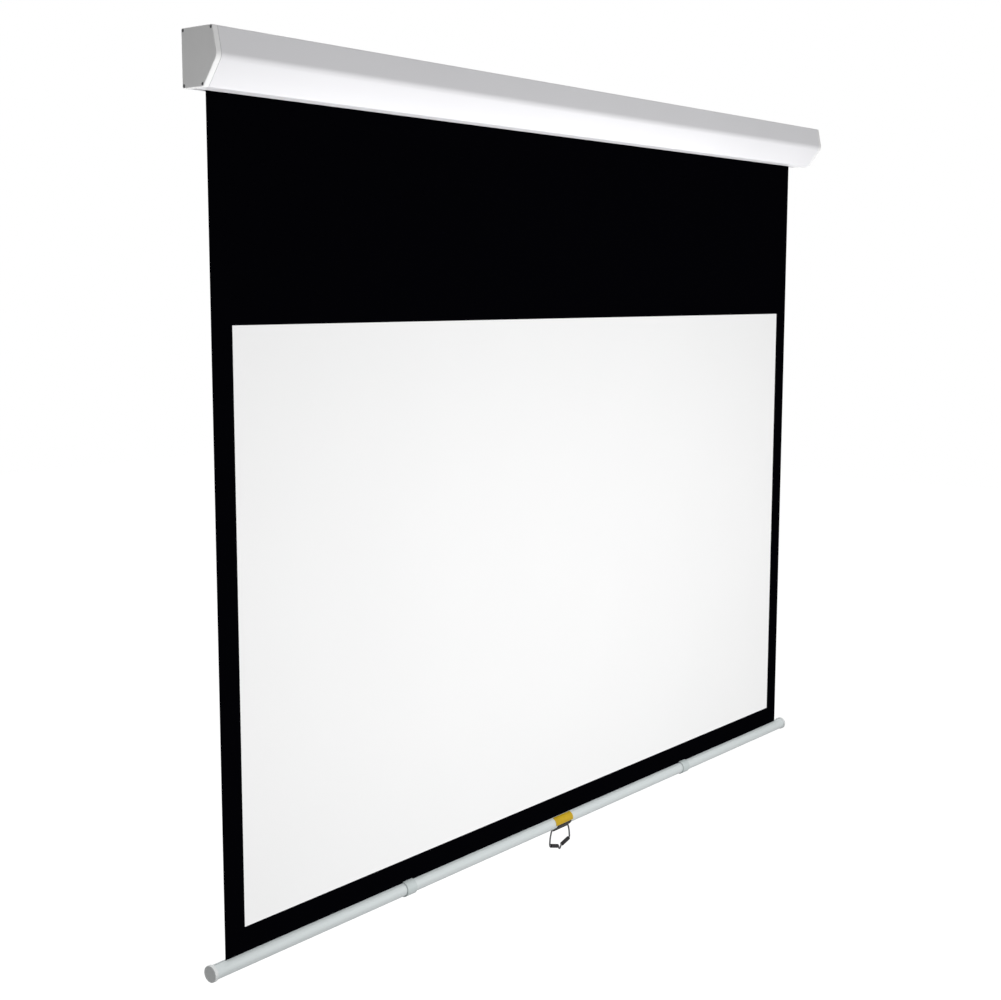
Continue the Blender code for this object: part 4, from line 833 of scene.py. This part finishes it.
class SCREEN_OT_casing(bpy.types.Operator):
    """Build the casing's extrusion with its cloth slot, screw ports and back rails"""

    bl_idname = "screen.casing"
    bl_label = "Casing"

    def execute(self, context):
        sizes = context.scene.screen_casing
        wall = sizes.wall
        low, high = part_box("casing_extrusion")
        back, bottom = CASING_BOX[1].y, CASING_BOX[0].z
        corners = casing_corners()
        loops = [rounded(corners), rounded(inset(corners, wall))]
        shell = prism("casing_shell", loops, low.x, high.x, sizes.seam_edge)
        slot_front = middle(CLOTH_BOX).y - sizes.slot_room
        slot_back = back - sizes.screw_inset - sizes.port_radius - SEAT_GAP / 2
        slot_low = (low.x - OVERRUN, slot_front, bottom - OVERRUN)
        slot_high = (high.x + OVERRUN, slot_back, bottom + 2 * wall)
        parts = [carve(shell, [block(slot_low, slot_high)])]
        outlines = [self.port_outline(place, sizes) for place in port_places()]
        outlines.append(soft_outline(self.lip(slot_front, bottom, sizes)))
        outlines += [soft_outline(rail) for rail in self.rails(high.y, back - wall / 2, sizes)]
        parts += [prism("profile", [outline], low.x, high.x) for outline in outlines]
        seat(join("casing", parts), "casing", "casing_extrusion", "white_enamel")
        return {"FINISHED"}

    def port_outline(self, place, sizes):
        """A screw port: a round bore with a wall that is open towards the roller."""
        centre_y, centre_z = axis_of_roller()
        facing = math.atan2(centre_z - place[1], centre_y - place[0])
        mouth = math.asin(sizes.port_slit / 2 / sizes.port_bore)
        edge = math.asin(sizes.port_slit / 2 / sizes.port_radius)
        outer = arc(place, sizes.port_radius, facing + edge, facing + FULL - edge, 30)
        return outer + arc(place, sizes.port_bore, facing + FULL - mouth, facing + mouth, 22)

    def lip(self, front, bottom, sizes):
        """The corners of the lip that stands along the slot's front."""
        root, top, outer = bottom + sizes.wall / 2, bottom + sizes.lip_height, front - sizes.wall
        return [
            (outer, root, BURIED),
            (front, root, BURIED),
            (front, top, LIP_EDGE),
            (outer, top, LIP_EDGE),
        ]

    def rails(self, tip, root, sizes):
        """The corners of the hooked upper rail and of the plain lower rail."""
        wall, rail = sizes.wall, CASING_BOX[1].z - sizes.upper_rail
        upper = [
            (root, rail - wall, BURIED),
            (tip - wall, rail - wall, INSIDE),
            (tip - wall, rail - sizes.rail_hook, EASED),
            (tip, rail - sizes.rail_hook, EASED),
            (tip, rail, OUTSIDE),
            (root, rail, BURIED),
        ]
        rail = CASING_BOX[0].z + sizes.lower_rail
        lower = [
            (root, rail, BURIED),
            (tip, rail, EASED),
            (tip, rail + wall, EASED),
            (root, rail + wall, BURIED),
        ]
        return upper, lower


class SCREEN_OT_end_caps(bpy.types.Operator):
    """Build the two moulded end caps and their cross-head screws"""

    bl_idname = "screen.end_caps"
    bl_label = "End Caps"

    def execute(self, context):
        sizes = context.scene.screen_casing
        for end, side in SIDES.items():
            outer, inner = across(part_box(end + "_end_cap"), side)
            cap = self.rounded_cap("end_cap_" + end, inner, outer, side, sizes)
            hollow = rounded(inset(casing_corners(), sizes.cap_skirt))
            face = outer - side * sizes.cap_face
            carve(cap, [prism("cutter", [hollow], inner - side * OVERRUN, face)])
            plate_outer, plate_inner = across(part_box(end + "_shaft_plate"), side)
            root, stop = outer - side * sizes.cap_face / 2, plate_outer + side * SEAT_GAP
            carve(cap, self.bosses_and_ribs(root, stop, sizes), "UNION")
            holes, depth = [], plate_inner - outer
            for corner, (y, z) in zip(CORNERS, port_places()):
                node = f"{end}_cap_screw_{corner}"
                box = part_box(node)
                radius = radius_of(box)
                holes += self.screw_hole(side, radius, depth, Matrix.Translation((outer, y, z)))
                top, tip = across(box, side)
                placement = Matrix.Translation((top, y, z))
                if side < 0:
                    placement @= Matrix.Rotation(math.pi, 4, "Z")
                name, under, tip = f"screw_{end}_{corner}", -CAP_SCREW["head"], -abs(top - tip)
                screw = cross_screw(name, CAP_SCREW, radius, under, tip, placement)
                seat(screw, "casing", node, "dark_steel")
            carve(cap, holes)
            seat(cap, "casing", end + "_end_cap", "cap_plastic")
        return {"FINISHED"}

    def screw_hole(self, side, radius, depth, placement):
        """The cutters of a screw's seat in the cap's face, and of the bore for its shank."""
        seat_depth, bore = side * (CAP_SCREW["head"] + SEAT_GAP), CAP_SCREW["shank"] + SEAT_GAP
        return [
            rod(radius + SEAT_GAP, side * OVERRUN, -seat_depth, BORE_SIDES, placement),
            rod(bore, side * 2 * OVERRUN, depth, SCREW_SIDES, placement),
        ]

    def rounded_cap(self, name, inner, outer, side, sizes):
        """A solid cap whose outer rim is rounded, and whose mouth has its edge eased."""
        base = rounded(casing_corners())
        ease, rounding = sizes.seam_edge, sizes.cap_rounding
        levels = [(ease, inner), (0.0, inner + side * ease)]
        for turn in ROUNDING:
            x = outer - side * rounding * (1 - math.sin(turn))
            levels.append((rounding * (1 - math.cos(turn)), x))
        shape = bmesh.new()
        skin(shape, [[(x, *place) for place in moved_in(base, depth)] for depth, x in levels])
        return smooth(add_object(name, to_mesh(shape, name)))

    def bosses_and_ribs(self, root, stop, sizes):
        """A boss round each screw and two upright ribs, which all bear on the steel plate."""
        pieces = []
        for place in port_places():
            boss = arc(place, sizes.port_radius, 0.0, FULL, BORE_SIDES)[:-1]
            pieces.append(prism("boss", [boss], root, stop))
        start, end = sorted((root, stop))
        low, high = CASING_BOX[0].z + sizes.cap_skirt / 2, CASING_BOX[1].z - sizes.cap_skirt / 2
        for side in SIDES.values():
            y, half = axis_of_roller()[0] + side * sizes.rib_offset, sizes.cap_rib / 2
            pieces.append(block((start, y - half, low), (end, y + half, high)))
        return pieces


class SCREEN_OT_wall_brackets(bpy.types.Operator):
    """Build the two folded wall brackets and the screws that lock the casing on them"""

    bl_idname = "screen.wall_brackets"
    bl_label = "Wall Brackets"

    def execute(self, context):
        sizes, casing = context.scene.screen_bracket, context.scene.screen_casing
        upper_rail = CASING_BOX[1].z - casing.upper_rail
        between_rails = (upper_rail + CASING_BOX[0].z + casing.lower_rail) / 2
        for end in SIDES:
            node, screw_node = end + "_wall_bracket", end + "_lock_screw"
            box, screw_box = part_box(node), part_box(screw_node)
            low, high = box
            outline = self.outline(low, high, sizes)
            bracket = prism("bracket_" + end, [outline], low.x, high.x, softened=0.0002)
            centre, half = middle(box).x, sizes.slot_spacing / 2
            heights = (between_rails - half, between_rails + half)
            cutters = [self.fixing_slot(centre, height, sizes) for height in heights]
            place = Matrix.Translation((centre, middle(screw_box).y, low.z))
            placement, hole = place @ Matrix.Rotation(QUARTER, 4, "Y"), LOCK_SCREW_SHANK + SEAT_GAP
            cutters.append(rod(hole, OVERRUN, -OVERRUN, SCREW_SIDES, placement))
            carve(bracket, cutters)
            seat(bracket, "casing", node, "zinc_steel")
            screw = self.lock_screw("lock_screw_" + end, screw_box)
            seat(screw, "casing", screw_node, "dark_steel")
        return {"FINISHED"}

    def outline(self, low, high, sizes):
        """The folded strip from its end: a back plate, an arm with a tongue, and a lower arm."""
        steel, front = sizes.steel, low.y
        arm_top, lower_top = high.z - sizes.tongue, low.z + steel
        crisp, eased, inner_fold, tongue_fold = 0.0002, 0.0005, 0.0006, 0.0012
        return soft_outline(
            [
                (0.0, low.z, sizes.fold),
                (0.0, arm_top, sizes.fold),
                (front + steel, arm_top, crisp),
                (front + steel, high.z, eased),
                (front, high.z, eased),
                (front, arm_top - steel, tongue_fold),
                (-steel, arm_top - steel, inner_fold),
                (-steel, lower_top, inner_fold),
                (front, lower_top, eased),
                (front, low.z, eased),
            ]
        )

    def fixing_slot(self, centre, height, sizes):
        """The cutter of a level slot with round ends, through the back plate."""
        radius, run = sizes.slot_width / 2, (sizes.slot_length - sizes.slot_width) / 2
        loop = arc((run, 0.0), radius, -QUARTER, QUARTER, 12)
        loop += arc((-run, 0.0), radius, QUARTER, 3 * QUARTER, 12)
        cutter = prism("cutter", [loop], -OVERRUN, OVERRUN)
        turn = Matrix(((0, 1, 0, centre), (-1, 0, 0, 0), (0, 0, 1, height), (0, 0, 0, 1)))
        cutter.data.transform(turn)
        return cutter

    def lock_screw(self, name, box):
        """A slotted pan-head screw that points up, from under the bracket's lower arm."""
        low, high = box
        shank, radius, tall = LOCK_SCREW_SHANK, (high.x - low.x) / 2, high.z - low.z
        under, soft, tip_share = LOCK_SCREW_HEAD - tall, 0.0004, 0.85
        profile = [(0.0, 0.0), (shank * tip_share, 0.0), (shank, -SEAT_GAP)]
        profile += thread(shank, -THREAD_RELIEF, under, FINE_PITCH)
        profile += [(shank, under), (radius - soft, under), (radius, under - soft)]
        profile += [(radius, soft - tall), (radius - soft, -tall), (0.0, -tall)]
        centre = middle(box)
        placement = Matrix.Translation((centre.x, centre.y, high.z))
        placement @= Matrix.Rotation(-QUARTER, 4, "Y")
        slot_half, slot_reach = 0.0004, 0.004
        slot_low = (-tall - OVERRUN, -slot_half, -slot_reach)
        slot = block(slot_low, (RECESS_DEPTH - tall, slot_half, slot_reach), placement)
        return carve(lathe(name, profile, SCREW_SIDES, placement), [slot])


class SCREEN_OT_roller(bpy.types.Operator):
    """Build the cloth wraps that stay on the roller"""

    bl_idname = "screen.roller"
    bl_label = "Roller Wraps"

    def execute(self, context):
        sizes = context.scene.screen_cloth
        low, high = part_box("cloth_winding")
        half, steps = (CLOTH_BOX[1].y - CLOTH_BOX[0].y) / 2, 60
        centre = axis_of_roller()
        outermost = middle(CLOTH_BOX).y - centre[0]
        rings = []
        for k in range(int(sizes.wrap_turns * steps) + 1):
            rings.append((FULL * k / steps, outermost - sizes.wrap_pitch * k / steps))
        outside = [polar(centre, radius + half, turn) for turn, radius in rings]
        inside = [polar(centre, radius - half, turn) for turn, radius in rings]
        wraps = prism("cloth_wraps", [outside + inside[::-1]], low.x, high.x)
        seat(wraps, "roller", "cloth_winding", "black_cloth")
        return {"FINISHED"}


class SCREEN_OT_cloth(bpy.types.Operator):
    """Build the hanging cloth with its black borders, the white picture and the hem"""

    bl_idname = "screen.cloth"
    bl_label = "Cloth"

    def execute(self, context):
        low, high = CLOTH_BOX
        cloth = thin_sheet("hanging_cloth", CLOTH_BOX, *CLOTH_GRID)
        picture = thin_sheet("picture_coating", PICTURE_BOX, *PICTURE_GRID)
        rolled_up = high.z - low.z - find_joint("screen_pull")["range_m"][1]
        rolled_picture = rolled_up - context.scene.screen_cloth.rolled_border
        anchor, drop = (0.0, middle(CLOTH_BOX).y, high.z), high.z - PICTURE_BOX[0].z
        for piece, node, slot, left, whole in (
            (cloth, "screen_cloth", "black_cloth", rolled_up, high.z - low.z),
            (picture, "picture_surface", "matte_white", rolled_picture, drop),
        ):
            seat(piece, "casing", node, slot)
            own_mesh(piece)
        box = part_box("hem_loop")
        left, right, centre = box[0].x, box[1].x, middle(box)
        outer = radius_of(box)
        inner = outer - (high.y - low.y)
        profile = [(outer, right), (outer, left), (inner, left), (inner, right)]
        hem = lathe("hem", profile, TURNED_SIDES, Matrix.Translation((0, centre.y, centre.z)))
        seat(hem, "bottom_bar", "hem_loop", "black_cloth")
        return {"FINISHED"}


def thin_sheet(name, box, columns, rows):
    """A flat closed sheet facing -Y, divided into a grid on both faces."""
    low, high = box
    across_it, up_it = span(low.x, high.x, columns), span(low.z, high.z, rows)
    layers = [[[(x, y, z) for x in across_it] for z in up_it] for y in (low.y, high.y)]
    return double_sheet(name, layers)


class SCREEN_OT_bottom_bar(bpy.types.Operator):
    """Build the bottom bar's tube, caps, stop collars and yellow patch"""

    bl_idname = "screen.bottom_bar"
    bl_label = "Bottom Bar"

    def execute(self, context):
        sizes = context.scene.screen_bar
        radius, (y, z) = bar_round()
        hem = middle(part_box("hem_rod")).z - z
        loops = [[(y + a, z + b) for a, b in loop] for loop in self.section(radius, hem, sizes)]
        tube = prism("bottom_bar_tube", loops, BAR_BOX[0].x, BAR_BOX[1].x)
        seat(tube, "bottom_bar", "bar_tube", "bar_enamel")
        for end, side in SIDES.items():
            self.make_cap(end, side, radius, hem, Matrix.Translation((0, y, z)), sizes)
            self.make_collar(end, radius, (y, z), sizes)
        self.make_marker(radius + SEAT_GAP, (y, z), sizes)
        return {"FINISHED"}

    def section(self, radius, hem, sizes):
        """The bar's outline with its keyhole for the hem, and the cavity inside it."""
        half, channel = sizes.slot / 2, sizes.channel
        lean, mouth = math.asin(half / radius), math.asin(half / channel)
        outline = arc((0, 0), radius, QUARTER + lean, 5 * QUARTER - lean, 90)
        outline += arc((0, hem), channel, QUARTER - mouth, mouth - 3 * QUARTER, 36)
        inner, rib = radius - sizes.wall, channel + sizes.channel_wall
        height = (inner ** 2 - rib ** 2 + hem ** 2) / (2 * hem)
        lean = math.acos(height / inner)
        mouth = math.atan2(math.sqrt(inner ** 2 - height ** 2), height - hem)
        cavity = arc((0, 0), inner, QUARTER + lean, 5 * QUARTER - lean, 70)
        cavity += arc((0, hem), rib, QUARTER - mouth, mouth - 3 * QUARTER, 30)[1:-1]
        return outline, cavity

    def make_cap(self, end, side, tube_radius, hem, centre, sizes):
        """A turned cap with a dished face, whose spigot passes under the hem channel."""
        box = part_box(end + "_bar_cap")
        outer, inner = across(box, side)
        radius = radius_of(box)
        dish, rim, rim_slope, seam_ease, chamfer = 0.0003, 0.003, 0.0005, 0.0006, 0.0014
        face = outer - side * dish
        profile = [(0.0, face), (radius - rim - rim_slope, face), (radius - rim, outer)]
        profile += eased_rim(radius, outer, side, sizes.cap_rounding)
        seam, spigot = outer - side * sizes.cap_head, tube_radius - sizes.wall - SEAT_GAP
        profile += [(radius, seam + side * seam_ease), (radius - seam_ease, seam), (spigot, seam)]
        profile += [(spigot, inner + side * chamfer), (spigot - chamfer, inner), (0.0, inner)]
        cap = lathe("bar_cap_" + end, profile, BAR_CAP_SIDES, centre)
        passage = hem - sizes.channel - sizes.channel_wall - SEAT_GAP
        start, stop = sorted((seam, inner - side * OVERRUN))
        carve(cap, [block((start, -radius, passage), (stop, radius, radius), centre)])
        seat(cap, "bottom_bar", end + "_bar_cap", "bar_plastic")

    def make_collar(self, end, tube_radius, centre, sizes):
        """A collar round the tube, split on top for the cloth."""
        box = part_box(end + "_stop_collar")
        outer, inner = radius_of(box), tube_radius + SEAT_GAP
        half = math.asin(sizes.collar_split / 2 / outer)
        start, stop = QUARTER + half, 5 * QUARTER - half
        loop = arc(centre, outer, start, stop, 72) + arc(centre, inner, stop, start, 72)
        ends = box[0].x, box[1].x
        collar = prism("stop_collar_" + end, [loop], *ends, sizes.collar_rounding)
        seat(collar, "bottom_bar", end + "_stop_collar", "bar_plastic", "collar_plastic")

    def make_marker(self, radius, centre, sizes):
        """A thin film with rounded corners on the front of the bar."""
        low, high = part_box("pull_marker")
        thick, corner = sizes.marker_film, sizes.marker_corner
        bottom = math.pi - math.asin((low.z - centre[1]) / radius)
        top = math.pi - math.asin((high.z - centre[1]) / (radius + thick))
        half = (high.x - low.x) / 2
        edge = [corner * (1 - math.cos(turn)) - half for turn in ROUNDING]
        columns = edge + span(corner - half, half - corner, 20)[1:-1] + [-x for x in edge[::-1]]
        layers = []
        for level in (radius, radius + thick):
            grid = []
            for x in columns:
                into = max(0.0, corner - (half - abs(x))) / corner
                trim = corner / radius * (1 - math.sqrt(max(0.0, 1 - into ** 2)))
                turns = span(top + trim, bottom - trim, 24)
                grid.append([(x, *polar(centre, level, turn)) for turn in turns])
            layers.append(grid)
        marker = smooth(double_sheet("yellow_marker", layers))
        seat(marker, "bottom_bar", "pull_marker", "marker_yellow")


class SCREEN_OT_handle(bpy.types.Operator):
    """Build the handle: clasp and screws on the bar, wire and rubber sleeves under it"""

    bl_idname = "screen.handle"
    bl_label = "Handle"

    def execute(self, context):
        sizes = context.scene.screen_handle
        pivot = Vector(find_joint("handle_swing")["pos_m"])
        self.make_clasp(pivot, sizes)
        bends = [
            (sizes.shoulder, 0.0, sizes.shoulder_bend),
            (sizes.waist, -sizes.waist_drop, sizes.waist_bend),
            (sizes.half_width, -sizes.side_drop, sizes.corner_bend),
            (sizes.knee, -sizes.knee_drop, sizes.tip_bend),
            (0.0, -sizes.tip_drop, sizes.tip_bend),
        ]
        right = [(pivot + Vector((x, 0, z)), radius) for x, z, radius in bends]
        left = [(pivot + Vector((-x, 0, z)), radius) for x, z, radius in bends[:-1]]
        ends_from_middle, steps = 0.001, 12
        reach = Vector((ends_from_middle, 0, 0))
        first, last = (pivot - reach, 0.0), (pivot + reach, 0.0)
        path = bent_path([first] + left + right[::-1] + [last], steps)
        wire = round_wire("pull_wire", path, sizes.wire, sizes.wire_sides)
        seat(wire, "handle", "handle_wire", "handle_wire")
        for end, side in SIDES.items():
            corner = pivot + Vector((side * sizes.half_width, 0, -sizes.side_drop))
            knee = pivot + Vector((side * sizes.knee, 0, -sizes.knee_drop))
            along = (knee - corner).normalized()
            start = corner + along * sizes.grip_from_corner
            stop = knee - along * sizes.grip_from_knee
            grip = self.make_grip("grip_" + end, start, stop, sizes)
            seat(grip, "handle", end + "_grip_sleeve", "handle_rubber")
        return {"FINISHED"}

    def make_clasp(self, pivot, sizes):
        """A saddle under the bar with a barrel for the wire, held by two screws."""
        low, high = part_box("handle_clasp")
        radius, centre = bar_round()
        inner = radius + SEAT_GAP
        outer = inner + sizes.clasp
        drop = centre[1] - pivot.z
        bore = sizes.wire + sizes.wire_play
        barrel, half = bore + sizes.barrel_wall, sizes.clasp_reach

        def hanging(reach, turn):
            """A point at a distance from the bar's axis, turned from straight below it."""
            return centre[0] + reach * math.sin(turn), centre[1] - reach * math.cos(turn)

        outline = []
        for turn in span(-half, half, 120):
            reach = outer
            if abs(turn) < math.asin(barrel / drop):
                around = math.sqrt(max(0.0, barrel ** 2 - (drop * math.sin(turn)) ** 2))
                reach = max(outer, drop * math.cos(turn) + around)
            outline.append(hanging(reach, turn))
        outline += [hanging(inner, turn) for turn in span(half, -half, 60)]
        passage = arc((centre[0], centre[1] - drop), bore, 0.0, FULL, BORE_SIDES)[:-1]
        clasp = prism("handle_saddle", [outline, passage], low.x, high.x, softened=0.0003)
        cutters = []
        turned = Matrix.Rotation(sizes.screw_lean, 4, "X") @ Matrix.Rotation(QUARTER, 4, "Z")
        for end, side in SIDES.items():
            placement = Matrix.Translation((side * sizes.screw_spacing / 2, *centre)) @ turned
            hole = CLASP_SCREW["shank"] + SEAT_GAP
            cutters.append(rod(hole, outer + OVERRUN, inner - OVERRUN, SCREW_SIDES, placement))
            under = outer + SEAT_GAP
            tip, name = under - CLASP_SCREW_LENGTH, "handle_screw_" + end
            screw = cross_screw(name, CLASP_SCREW, CLASP_SCREW_RADIUS, under, tip, placement)
            seat(screw, "bottom_bar", end + "_handle_screw", "dark_steel")
        carve(clasp, cutters)
        seat(clasp, "bottom_bar", "handle_clasp", "handle_rubber")

    def make_grip(self, name, start, stop, sizes):
        """A rubber sleeve on the wire, with rounded ends."""
        way = stop - start
        half, inner = way.length / 2, sizes.wire + SEAT_GAP
        profile = eased_rim(sizes.grip, half, 1, sizes.grip / 3)
        profile += [(radius, -x) for radius, x in profile[::-1]]
        profile += [(inner, -half), (inner, half)]
        turned = way.to_track_quat("X", "Z").to_matrix().to_4x4()
        placement = Matrix.Translation((start + stop) / 2) @ turned
        return lathe(name, profile, TURNED_SIDES, placement)


class SCREEN_OT_inner_pieces(bpy.types.Operator):
    """Give the roller, spring, damper and plates inside the casing their finishes"""

    bl_idname = "screen.inner_pieces"
    bl_label = "Inner Pieces"

    def execute(self, context):
        for part in frame["record"]["subparts"]:
            for slot in frame["nodes"][part["node"]].material_slots:
                slot.material = material(part["material_slot"])
        return {"FINISHED"}


class SCREEN_OT_stage(bpy.types.Operator):
    """Set up the floor, the soft lights, the pale surroundings and the camera"""

    bl_idname = "screen.stage"
    bl_label = "Stage"

    def execute(self, context):
        context.scene.view_settings.view_transform = "Standard"
        self.make_floor()
        self.make_world(context.scene)
        for name, (place, target, size, power) in LAMPS.items():
            self.make_lamp(name, place, target, size, power)
        self.keep_light_on("strip_under_casing", ("casing", "end_cap_left", "end_cap_right"))
        self.make_camera(context.scene)
        return {"FINISHED"}

    def make_floor(self):
        """A pale floor that looks white in the picture, and still takes a soft shadow."""
        shape = bmesh.new()
        bmesh.ops.create_grid(shape, x_segments=1, y_segments=1, size=FLOOR_SIZE)
        floor = add_object("floor", to_mesh(shape, "floor", False))
        floor.location.z = FLOOR_HEIGHT
        finish = bpy.data.materials.new("pale_floor")
        tree, surface = cleared_tree(finish, "Material")
        diffuse = add_node(tree, "BsdfDiffuse", {"Color": FLOOR_GREY})
        inputs = {0: rays_that_see_white(tree), 1: FLOOR_GLOW}
        share = add_node(tree, "Math", inputs, operation="MULTIPLY")
        glow = add_node(tree, "Emission", {"Strength": share})
        feed(tree, surface, add_node(tree, "AddShader", {0: diffuse, 1: glow}))
        floor.data.materials.append(finish)

    def make_world(self, scene):
        """Even pale surroundings that light the screen, and that look white in the picture."""
        scene.world = bpy.data.worlds.new("pale_surroundings")
        tree, surface = cleared_tree(scene.world, "World")
        ambient = add_node(tree, "Background", {"Color": WHITE, "Strength": SURROUNDINGS})
        seen = add_node(tree, "Background", {"Color": WHITE, "Strength": 1.0})
        inputs = {"Fac": rays_that_see_white(tree), 1: ambient, 2: seen}
        feed(tree, surface, add_node(tree, "MixShader", inputs))

    def make_lamp(self, name, place, target, size, power):
        """A soft rectangular lamp, turned to its target and out of the camera's sight."""
        data = bpy.data.lights.new(name, "AREA")
        data.shape = "RECTANGLE"
        data.size, data.size_y = size
        data.energy = power
        lamp = add_object(name, data)
        lamp.location = place
        lamp.rotation_euler = (Vector(target) - Vector(place)).to_track_quat("-Z", "Y").to_euler()
        lamp.visible_camera = False

    def keep_light_on(self, lamp, pieces):
        """Lets a lamp light these pieces alone, as a flag beside a studio lamp does."""
        lit = bpy.data.collections.new(lamp + "_lights")
        for piece in pieces:
            lit.objects.link(bpy.data.objects[piece])
        bpy.data.objects[lamp].light_linking.receiver_collection = lit

    def make_camera(self, scene):
        """Puts the camera where the photograph's perspective has it, off the picture's middle."""
        data = bpy.data.cameras.new("photo_camera")
        data.sensor_width, data.lens = CAMERA_SENSOR, CAMERA_LENS
        camera = add_object("photo_camera", data)
        camera.rotation_euler = [math.radians(turn) for turn in CAMERA_TURN]
        picture = middle(PICTURE_BOX)
        picture.y = PICTURE_BOX[0].y
        camera.location = picture + Vector(CAMERA_FROM_PICTURE)
        scene.camera = camera


def cleared_tree(owner, kind):
    """The emptied node tree of a material or world, and the surface socket of its new output."""
    owner.use_nodes = True
    tree = owner.node_tree
    tree.nodes.clear()
    return tree, tree.nodes.new("ShaderNodeOutput" + kind).inputs["Surface"]


def rays_that_see_white(tree):
    """One for camera, glossy and transmission rays, which see the background as white."""
    rays = tree.nodes.new("ShaderNodeLightPath").outputs
    seen = rays["Is Camera Ray"]
    for kind in ("Is Glossy Ray", "Is Transmission Ray"):
        seen = add_node(tree, "Math", {0: seen, 1: rays[kind]}, operation="MAXIMUM")
    return seen


class SCREEN_PT_panel(bpy.types.Panel):
    """Lists the operators that build the screen, and its sizes and colours"""

    bl_label = "Projector Screen"
    bl_idname = "SCREEN_PT_panel"
    bl_space_type = "VIEW_3D"
    bl_region_type = "UI"
    bl_category = "Projector Screen"

    def draw(self, context):
        layout = self.layout
        for operator in OPERATORS:
            layout.operator(operator.bl_idname)
        for group in GROUPS:
            column = layout.column(align=True)
            settings = getattr(context.scene, group)
            for name in settings.bl_rna.properties.keys():
                if name not in ("rna_type", "name"):
                    column.prop(settings, name)


OPERATORS = (
    SCREEN_OT_casing,
    SCREEN_OT_end_caps,
    SCREEN_OT_wall_brackets,
    SCREEN_OT_roller,
    SCREEN_OT_cloth,
    SCREEN_OT_bottom_bar,
    SCREEN_OT_handle,
    SCREEN_OT_inner_pieces,
    SCREEN_OT_stage,
)
GROUPS = {
    "screen_casing": CasingSizes,
    "screen_bracket": BracketSizes,
    "screen_cloth": ClothSizes,
    "screen_bar": BarSizes,
    "screen_handle": HandleSizes,
    "screen_finishes": Finishes,
}


def register():
    for name, group in GROUPS.items():
        bpy.utils.register_class(group)
        setattr(bpy.types.Scene, name, PointerProperty(type=group))
    for operator in OPERATORS:
        bpy.utils.register_class(operator)
    bpy.utils.register_class(SCREEN_PT_panel)


def unregister():
    bpy.utils.unregister_class(SCREEN_PT_panel)
    for operator in reversed(OPERATORS):
        bpy.utils.unregister_class(operator)
    for name, group in GROUPS.items():
        delattr(bpy.types.Scene, name)
        bpy.utils.unregister_class(group)


def main():
    register()
    bpy.ops.screen.casing()
    bpy.ops.screen.end_caps()
    bpy.ops.screen.wall_brackets()
    bpy.ops.screen.roller()
    bpy.ops.screen.cloth()
    bpy.ops.screen.bottom_bar()
    bpy.ops.screen.handle()
    bpy.ops.screen.inner_pieces()
    bpy.ops.screen.stage()


if __name__ == "__main__":
    main()
